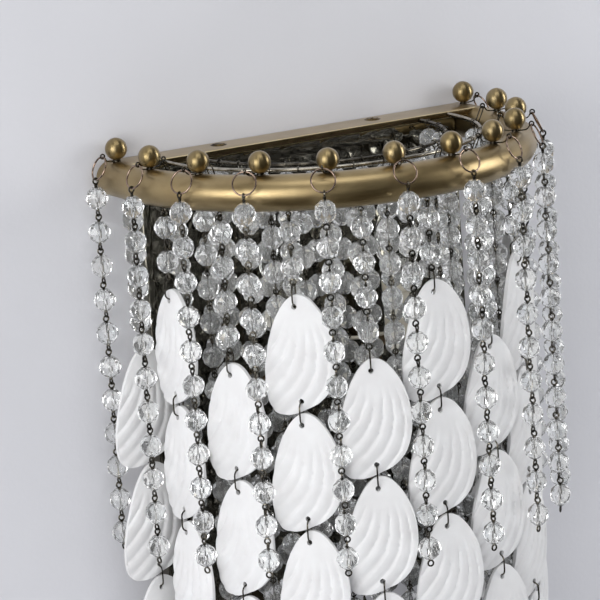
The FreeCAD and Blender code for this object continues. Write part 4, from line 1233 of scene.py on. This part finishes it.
for name, surface in (
    ("finial_studs", plated_steel), ("bar_washers", plated_steel), ("box_nuts", plated_steel),
    ("wall_bracket", plated_steel), ("box_studs", plated_steel), ("arm_screws", plated_steel),
    ("earth_screw", plated_steel), ("dome_nuts", brass_balls), ("cable_grommet", grommet_rubber),
    ("lamp_arms", arm_lacquer), ("bulb_caps", cap_brass), ("terminal_block", block_plastic),
    ("lamp_leads", lead_sleeve),
):
    solid = frame["nodes"][name]
    solid.data.materials.clear()
    solid.data.materials.append(surface)


# Wall, floor, lamps and sky, in metres


def paint(name, dark, light):
    """Matte wall paint, rolled: a fine stipple."""
    made, tree, surface = material(name, light, Roughness=0.9)
    place = mottled(tree, surface, 350.0, dark, light, 0.3, 0.7)
    grained(tree, surface, place, 3.5, 0.12, 0.85, 0.95)
    return made, tree, surface


def wall_finish():
    """Pale rolled wall paint, clear from behind, so that the sconce's back can be looked at."""
    made, tree, surface = paint("pale_wall_paint", "#CFCFD3", "#D9D9DD")
    open_back = node(tree, "ShaderNodeBsdfTransparent")
    behind = node(tree, "ShaderNodeNewGeometry").outputs["Backfacing"]
    mixed(tree, behind, surface.outputs[0], open_back.outputs[0])
    return made


FLOOR_PALENESS = 0.7


def floor_finish():
    """Pale painted floor, far below: mirrored by metal in a deep tone, pale to the camera."""
    made, tree, surface = paint("pale_floor", "#D8D8DA", "#E0E0E2")
    path = node(tree, "ShaderNodeLightPath")
    deep = node(tree, "ShaderNodeBsdfDiffuse", {"Color": linear("#4A453C")})
    pale = node(tree, "ShaderNodeEmission", {"Color": linear("#D4D4D8"), "Strength": 1.0})
    seen = node(
        tree, "ShaderNodeMath",
        {0: path.outputs["Is Camera Ray"], 1: FLOOR_PALENESS},
        operation="MULTIPLY",
    )
    shaded = mixed(tree, path.outputs["Is Glossy Ray"], surface.outputs[0], deep.outputs[0])
    mixed(tree, seen.outputs[0], shaded, pale.outputs[0])
    return made


def stage_plane(name, wide, high, place, surface):
    bm = bmesh.new()
    bmesh.ops.create_grid(bm, x_segments=1, y_segments=1, size=0.5)
    bmesh.ops.scale(bm, verts=bm.verts, vec=(wide, high, 1.0))
    mesh = to_mesh(bm)
    mesh.transform(place)
    mesh.materials.append(surface)
    made = new_object(name, mesh)


stage_plane(
    "wall", 8.0, 5.0, Matrix.Translation((0, 0.001, 1.3)) @ spun(90, "X"), wall_finish()
)
stage_plane("floor", 8.0, 8.0, Matrix.Translation((0, -4.0, -1.2)), floor_finish())

LIT_MIDDLE = Vector((0.0, -0.1, -0.1))


def soft_lamp(name, spot, wide, high, watts, spread=180.0):
    """A wide lamp that faces the sconce; a narrower spread keeps it off the wall beside it."""
    lamp = bpy.data.lights.new(name, "AREA")
    lamp.shape = "RECTANGLE"
    lamp.size = wide
    lamp.size_y = high
    lamp.energy = watts
    lamp.spread = math.radians(spread)
    made = new_object(name, lamp)
    made.location = spot
    made.rotation_euler = (LIT_MIDDLE - Vector(spot)).to_track_quat("-Z", "Y").to_euler()


soft_lamp("tall_window", (-1.8, -1.75, 0.4), 1.1, 2.0, 14.5)
soft_lamp("left_glow", (-2.3, -0.9, 0.3), 1.3, 1.2, 28.0)
soft_lamp("right_window", (2.35, -1.25, 0.4), 0.9, 1.6, 13.0, 120.0)
soft_lamp("ceiling_soft", (-0.3, -1.0, 2.3), 1.8, 1.2, 16.0)


def studio_sky():
    """Pale where it is seen or looked at through crystal, dark in metal, dim as a light."""
    world = bpy.data.worlds.new("studio")
    bpy.context.scene.world = world
    world.use_nodes = True
    sky = world.node_tree
    path = node(sky, "ShaderNodeLightPath").outputs
    seen = node(
        sky, "ShaderNodeMath", {0: path["Is Camera Ray"], 1: path["Is Transmission Ray"]},
        operation="MAXIMUM",
    )
    pale, dim, dark = (
        node(sky, "ShaderNodeBackground", {"Color": colour, "Strength": strength}).outputs[0]
        for colour, strength in (
            ((0.86, 0.86, 0.88, 1.0), 0.9),
            ((0.80, 0.82, 0.86, 1.0), 0.5),
            ((0.80, 0.80, 0.78, 1.0), 0.15),
        )
    )
    unseen = node(sky, "ShaderNodeMixShader", {0: path["Is Glossy Ray"], 1: dim, 2: dark})
    choice = node(
        sky, "ShaderNodeMixShader", {0: seen.outputs[0], 1: unseen.outputs[0], 2: pale}
    )
    sky.links.new(choice.outputs[0], sky.nodes["World Output"].inputs["Surface"])


studio_sky()

bpy.context.scene.view_settings.view_transform = "Standard"
